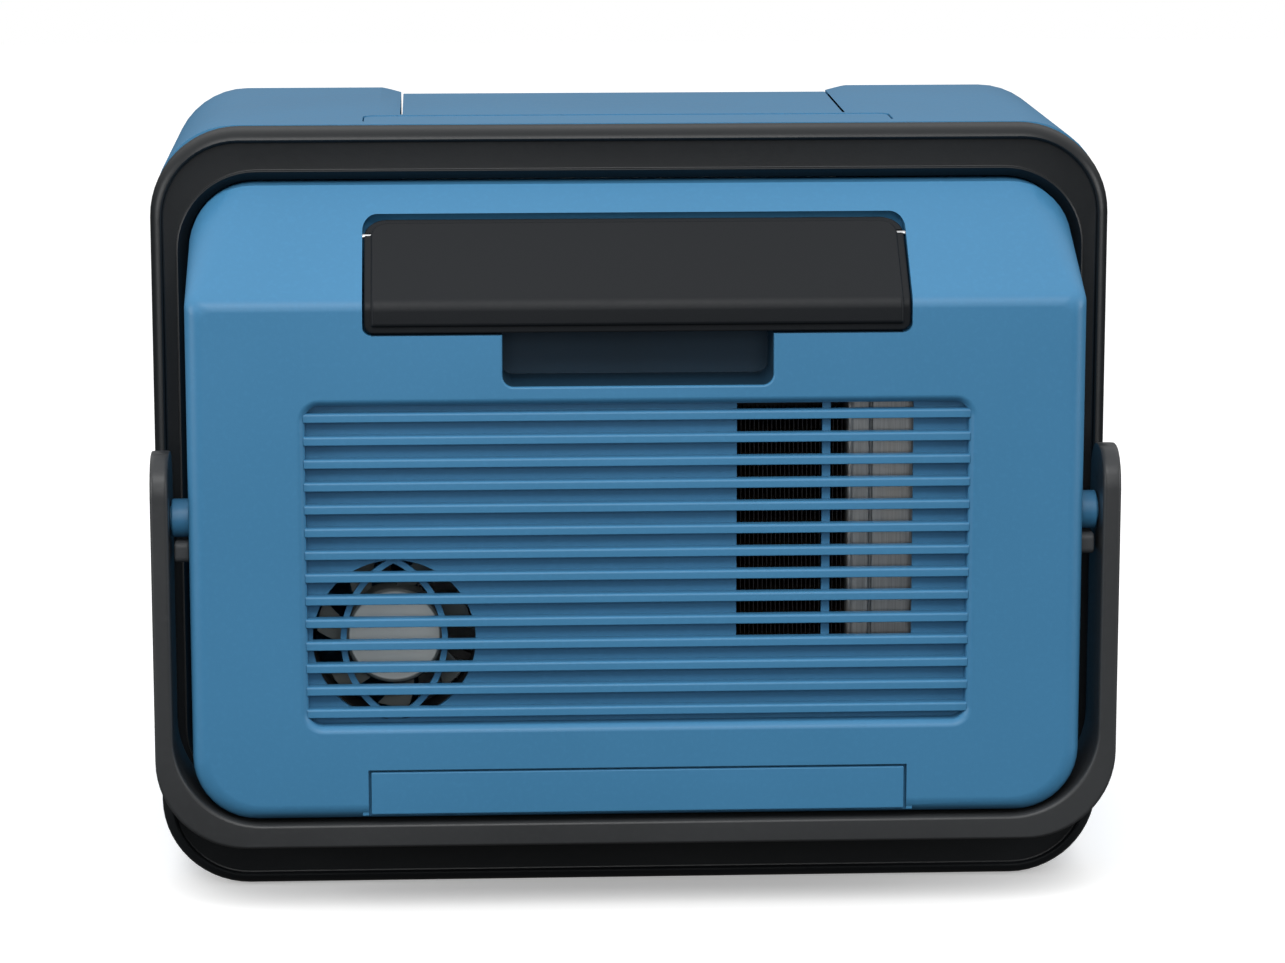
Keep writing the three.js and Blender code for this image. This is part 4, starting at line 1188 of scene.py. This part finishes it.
# ---- lid ----
def build_lid():
    left, right, rear, _, low, high = cad("lid_frame")
    sink, thick = HEIGHT - high, 7.0
    lip_y = slope_at(low)[0] + 2.6
    side = [(rear, high - thick + 1.5), (rear + 1.5, high - thick)]
    side += ridge_arc(sink + thick)
    side += [slope_at(low, sink + thick), (lip_y, low), (lip_y, low + 2.2), slope_at(low + 5, sink)]
    side += list(reversed(ridge_arc(sink))) + [(rear + 1.5, high), (rear, high - 1.5)]
    lid = prism("X", side, left, right)
    half, start, end = 62, 12, 65
    carve(lid, slope_slab(half, start, end, 8, -2, 14),
          slope_slab(half + 4, start - 4, end + 4, 10, -2, sink + 2.6),
          *rods(HINGE_Y, HINGE_Z, 1.9, 70, 81, 24))
    soften(lid, 0.6)
    present(lid, "lid_frame_panel", "lid", "case_blue", "lid_frame")
    pane = weld(slope_slab(half + 3.6, start - 3.6, end + 3.6, 9.6, sink + 0.2, sink + 2.3),
                slope_slab(half - 0.4, start + 0.4, end - 0.4, 7.6, sink + 2.2, sink + 5.6))
    soften(pane, 0.4)
    present(pane, "lid_window_pane", "lid", "window_clear", "lid_window")


def build_controls():
    left, right = cad("control_panel")[:2]

    def plate_ring(inset, depth):
        outline = round_rect(left + inset, right - inset, 12 + inset, 74 - inset, 4)
        return [(x, *on_slope(along, depth)) for x, along in outline]

    plate = skin("panel", [plate_ring(0, 0.5), plate_ring(0, -0.6), plate_ring(0.15, -0.85),
                           plate_ring(0.5, -1.0)])
    holes = [slope_rod(6.4, x, along, -4, 4, 48) for x, along in key_places()]
    lamps = [slope_rod(1.0, (left + right) / 2 + x, 22, -2, -0.75, 20) for x in (-15, -5, 5, 15)]
    carve(plate, *holes, *lamps)
    soften(plate, 0.15, 2, 50)
    present(plate, "control_panel_plate", "case", "panel_black", "control_panel")
    for name, (x, along) in zip(("power", "size", "clean"), key_places()):
        stem = 4.4 if name != "clean" else 4.2
        rings = [(4.6, stem), (4.6, -0.6), (6.0, -0.6), (6.0, -2.5), (5.8, -2.85), (5.4, -3.0),
                 (4.6, -2.85), (3.0, -2.7)]
        key = skin("key", [slope_disc(radius, x, along, depth, 40) for radius, depth in rings])
        soften(key, 0)
        present(key, f"{name}_button_key", f"{name}_key", "button_grey",
                f"{name}_button")


def build_feet():
    for word in ("left", "right"):
        left, right, rear, front, low, high = cad(f"foot_{word}")
        r = (right - left) / 2
        profile = [(r - 3, low + 0.6), (r - 2.6, low), (r - 0.8, low), (r, low + 0.9),
                   (r, low + 3.6), (r - 0.8, low + 4.5), (5, low + 4.6), (5, high - 0.3),
                   (4.7, high)]
        foot = turned("foot", "Z", ((left + right) / 2, (rear + front) / 2, 0), profile, 40)
        soften(foot, 0)
        present(foot, f"foot_{word}_pad", "case", "rubber_black", f"foot_{word}")


def build_evaporator():
    """The cold plate with its fingers, which freeze the ice."""
    left, right, rear, front, _, high = cad("evaporator")
    y = (rear + front) / 2
    profile = [(0.4, 177), (1.6, 177.3), (2.8, 178.2), (3.7, 179.8), (4.2, 182), (4.4, 204)]
    fingers = []
    for x, side, count in ((-48, -8, 5), (-36, 8, 4)):
        finger = turned("finger", "Z", (x, y + side, 0), profile, 24)
        fingers.append(repeat(finger, row_recipe, finish("steel"), Count=count,
                              Step=(24 * MM, 0, 0)))
    plate = prism("Z", round_rect(-56, 56, y - 13, y + 13, 4), 203, 209)
    tube = turned("tube", "X", (0, y, 210.5), [(3.4, -54), (4, -53.4), (4, 53.4), (3.4, 54)], 24)
    hangers = [block(x - 5, x + 5, y - 2, y + 2, 208, 246) for x in (-40, 40)]
    rail = block(left, right, y - 4, y + 4, 244, high)
    weld(plate, *fingers, tube, *hangers, rail)
    soften(plate, 0.3, 2, 50)
    present(plate, "evaporator_plate", "case", "steel", "evaporator")


def finish_cad_nodes():
    """Gives every CAD node that is still shown the finish of its slot."""
    for part in frame["record"]["subparts"]:
        node = NODES[part["node"]]
        if node.hide_render:
            continue
        if not node.material_slots:
            node.data.materials.append(None)
        for place in node.material_slots:
            place.material = finish(part["material_slot"])


# ---- stage ----
def build_stage(stage):
    mesh = bpy.data.meshes.new("floor")
    reach, wall = 6.0, 3.2
    mesh.from_pydata([(-reach, -reach, 0), (reach, -reach, 0), (reach, wall, 0), (-reach, wall, 0)],
                     [], [(0, 1, 2, 3)])
    floor = bpy.data.objects.new("floor", mesh)
    bpy.context.scene.collection.objects.link(floor)
    paint = Paint("floor", Roughness=0.9, Specular_IOR_Level=0.1, Emission_Strength=0.3)
    paint.shader.inputs["Emission Color"].default_value = (1.0, 1.0, 1.0, 1.0)
    tone = paint.spread(paint.noise(0.8), 0.3, 0.7, 0.97, 1.0)
    paint.feed(Base_Color=paint.mixed(tone, (0.5, 0.5, 0.5), tuple(stage.floor)))
    mesh.materials.append(paint.material)
    floor.visible_diffuse = floor.visible_glossy = False

    world = bpy.data.worlds.new("studio")
    bpy.context.scene.world = world
    world.use_nodes = True
    tree = Tree(world.node_tree)
    tree.group.nodes.clear()
    ways = tree.node("ShaderNodeSeparateXYZ", None, {
        0: tree.node("ShaderNodeTexCoord").outputs["Generated"]})
    level = tree.node("ShaderNodeMapRange", {"interpolation_type": "SMOOTHSTEP"}, {
        "Value": ways.outputs["Z"], "From Min": -0.1, "From Max": 0.9,
        "To Min": 0.05 * stage.sky, "To Max": 1.3 * stage.sky})
    seen = Number(tree, tree.node("ShaderNodeLightPath").outputs["Is Camera Ray"])
    light = Number(tree, level.outputs[0])
    strength = light * (1 - seen) + seen
    glow = tree.node("ShaderNodeBackground", None, {"Color": (1, 1, 1, 1), "Strength": strength})
    tree.node("ShaderNodeOutputWorld", None, {"Surface": glow.outputs[0]})
    bpy.context.scene.view_settings.view_transform = "Standard"

    lights = [
        ("key", (-0.1, -0.85, 0.85), (0.0, -0.1, 0.2), (0.9, 0.5), stage.key),
        ("fill", (0.0, -1.9, 0.55), (0.0, -0.1, 0.14), (0.8, 0.5), stage.fill),
        ("left", (-1.1, -0.45, 0.35), (0.0, -0.1, 0.14), (0.6, 0.6), stage.sides),
        ("right", (1.2, -0.45, 0.35), (0.0, -0.1, 0.14), (0.6, 0.6), stage.sides),
    ]
    for name, place, aim, (width, height), power in lights:
        data = bpy.data.lights.new(name, "AREA")
        data.shape, data.size, data.size_y, data.energy = "RECTANGLE", width, height, power
        lamp = bpy.data.objects.new(name, data)
        lamp.location = place
        lamp.rotation_euler = (Vector(aim) - Vector(place)).to_track_quat("-Z", "Y").to_euler()
        lamp.visible_camera = False
        bpy.context.scene.collection.objects.link(lamp)

    data = bpy.data.cameras.new("camera")
    data.lens, data.sensor_width, data.clip_start, data.clip_end = stage.focal, 36.0, 0.05, 50.0
    camera = bpy.data.objects.new("camera", data)
    camera.location = CAMERA_PLACE
    camera.rotation_euler = (radians(90 - CAMERA_DOWN), 0.0, radians(CAMERA_TURN))
    bpy.context.scene.collection.objects.link(camera)
    bpy.context.scene.camera = camera


# ---- operators: one for each piece or group, and one for the stage ----
class ICEMAKER_OT_rear_shell(bpy.types.Operator):
    """Build the rear half of the casing with its pocket, flap seat and slanted top"""

    bl_idname = "icemaker.rear_shell"
    bl_label = "Rear shell"

    def execute(self, context):
        build_rear_shell(context.scene.ice_maker_sizes)
        return {"FINISHED"}


class ICEMAKER_OT_band(bpy.types.Operator):
    """Build the black band that joins the two halves of the casing"""

    bl_idname = "icemaker.band"
    bl_label = "Band"

    def execute(self, context):
        build_band(context.scene.ice_maker_sizes)
        return {"FINISHED"}


class ICEMAKER_OT_front_shell(bpy.types.Operator):
    """Build the front half of the casing with its lid opening and sloped front"""

    bl_idname = "icemaker.front_shell"
    bl_label = "Front shell"

    def execute(self, context):
        build_front_shell(context.scene.ice_maker_sizes)
        return {"FINISHED"}


class ICEMAKER_OT_covers(bpy.types.Operator):
    """Build the cover low on the rear and the plain strip on the top"""

    bl_idname = "icemaker.covers"
    bl_label = "Covers"

    def execute(self, context):
        build_covers(context.scene.ice_maker_sizes)
        return {"FINISHED"}


class ICEMAKER_OT_grille(bpy.types.Operator):
    """Build the recessed grille with its slats, window and finger guard"""

    bl_idname = "icemaker.grille"
    bl_label = "Grille"

    def execute(self, context):
        build_grille(context.scene.ice_maker_sizes)
        return {"FINISHED"}


class ICEMAKER_OT_handle(bpy.types.Operator):
    """Build the carry handle, its pivots and the pads it rests on"""

    bl_idname = "icemaker.handle"
    bl_label = "Carry handle"

    def execute(self, context):
        build_handle()
        build_pivots()
        return {"FINISHED"}


class ICEMAKER_OT_flap(bpy.types.Operator):
    """Build the flap over the power inlet"""

    bl_idname = "icemaker.flap"
    bl_label = "Rear flap"

    def execute(self, context):
        build_flap(context.scene.ice_maker_sizes)
        return {"FINISHED"}


class ICEMAKER_OT_fan(bpy.types.Operator):
    """Build the fan: frame, rotor and screws"""

    bl_idname = "icemaker.fan"
    bl_label = "Fan"

    def execute(self, context):
        build_fan(context.scene.ice_maker_sizes)
        return {"FINISHED"}


class ICEMAKER_OT_condenser(bpy.types.Operator):
    """Build the condenser: tubes, fins and end tanks"""

    bl_idname = "icemaker.condenser"
    bl_label = "Condenser"

    def execute(self, context):
        build_condenser(context.scene.ice_maker_sizes)
        return {"FINISHED"}


class ICEMAKER_OT_lid(bpy.types.Operator):
    """Build the lid and its window"""

    bl_idname = "icemaker.lid"
    bl_label = "Lid"

    def execute(self, context):
        build_lid()
        return {"FINISHED"}


class ICEMAKER_OT_controls(bpy.types.Operator):
    """Build the control panel and its three keys"""

    bl_idname = "icemaker.controls"
    bl_label = "Controls"

    def execute(self, context):
        build_controls()
        return {"FINISHED"}


class ICEMAKER_OT_feet(bpy.types.Operator):
    """Build the two rubber feet"""

    bl_idname = "icemaker.feet"
    bl_label = "Feet"

    def execute(self, context):
        build_feet()
        return {"FINISHED"}


class ICEMAKER_OT_inside(bpy.types.Operator):
    """Build the evaporator and give every other inner part its finish"""

    bl_idname = "icemaker.inside"
    bl_label = "Inner parts"

    def execute(self, context):
        build_evaporator()
        finish_cad_nodes()
        return {"FINISHED"}


class ICEMAKER_OT_stage(bpy.types.Operator):
    """Build the floor, the lights and the camera"""

    bl_idname = "icemaker.stage"
    bl_label = "Stage"

    def execute(self, context):
        build_stage(context.scene.ice_maker_stage)
        return {"FINISHED"}


OPERATORS = (
    ICEMAKER_OT_stage,
    ICEMAKER_OT_rear_shell,
    ICEMAKER_OT_band,
    ICEMAKER_OT_front_shell,
    ICEMAKER_OT_covers,
    ICEMAKER_OT_grille,
    ICEMAKER_OT_handle,
    ICEMAKER_OT_flap,
    ICEMAKER_OT_fan,
    ICEMAKER_OT_condenser,
    ICEMAKER_OT_lid,
    ICEMAKER_OT_controls,
    ICEMAKER_OT_feet,
    ICEMAKER_OT_inside,
)


class ICEMAKER_PT_panel(bpy.types.Panel):
    """Lists the pieces and their settings"""

    bl_idname = "ICEMAKER_PT_panel"
    bl_label = "Ice maker"
    bl_space_type = "VIEW_3D"
    bl_region_type = "UI"
    bl_category = "Ice maker"

    def draw(self, context):
        layout, scene = self.layout, context.scene
        for operator in OPERATORS:
            layout.operator(operator.bl_idname)
        for group in (scene.ice_maker_sizes, scene.ice_maker_colours, scene.ice_maker_stage):
            box = layout.box()
            for name in group.__annotations__:
                box.prop(group, name)


CLASSES = (IceMakerSizes, IceMakerColours, IceMakerStage, *OPERATORS, ICEMAKER_PT_panel)


def register():
    for made in CLASSES:
        bpy.utils.register_class(made)
    bpy.types.Scene.ice_maker_sizes = PointerProperty(type=IceMakerSizes)
    bpy.types.Scene.ice_maker_colours = PointerProperty(type=IceMakerColours)
    bpy.types.Scene.ice_maker_stage = PointerProperty(type=IceMakerStage)


def unregister():
    del bpy.types.Scene.ice_maker_sizes
    del bpy.types.Scene.ice_maker_colours
    del bpy.types.Scene.ice_maker_stage
    for made in reversed(CLASSES):
        bpy.utils.unregister_class(made)


def main():
    register()
    for operator in OPERATORS:
        group, name = operator.bl_idname.split(".")
        getattr(getattr(bpy.ops, group), name)()


if __name__ == "__main__":
    main()
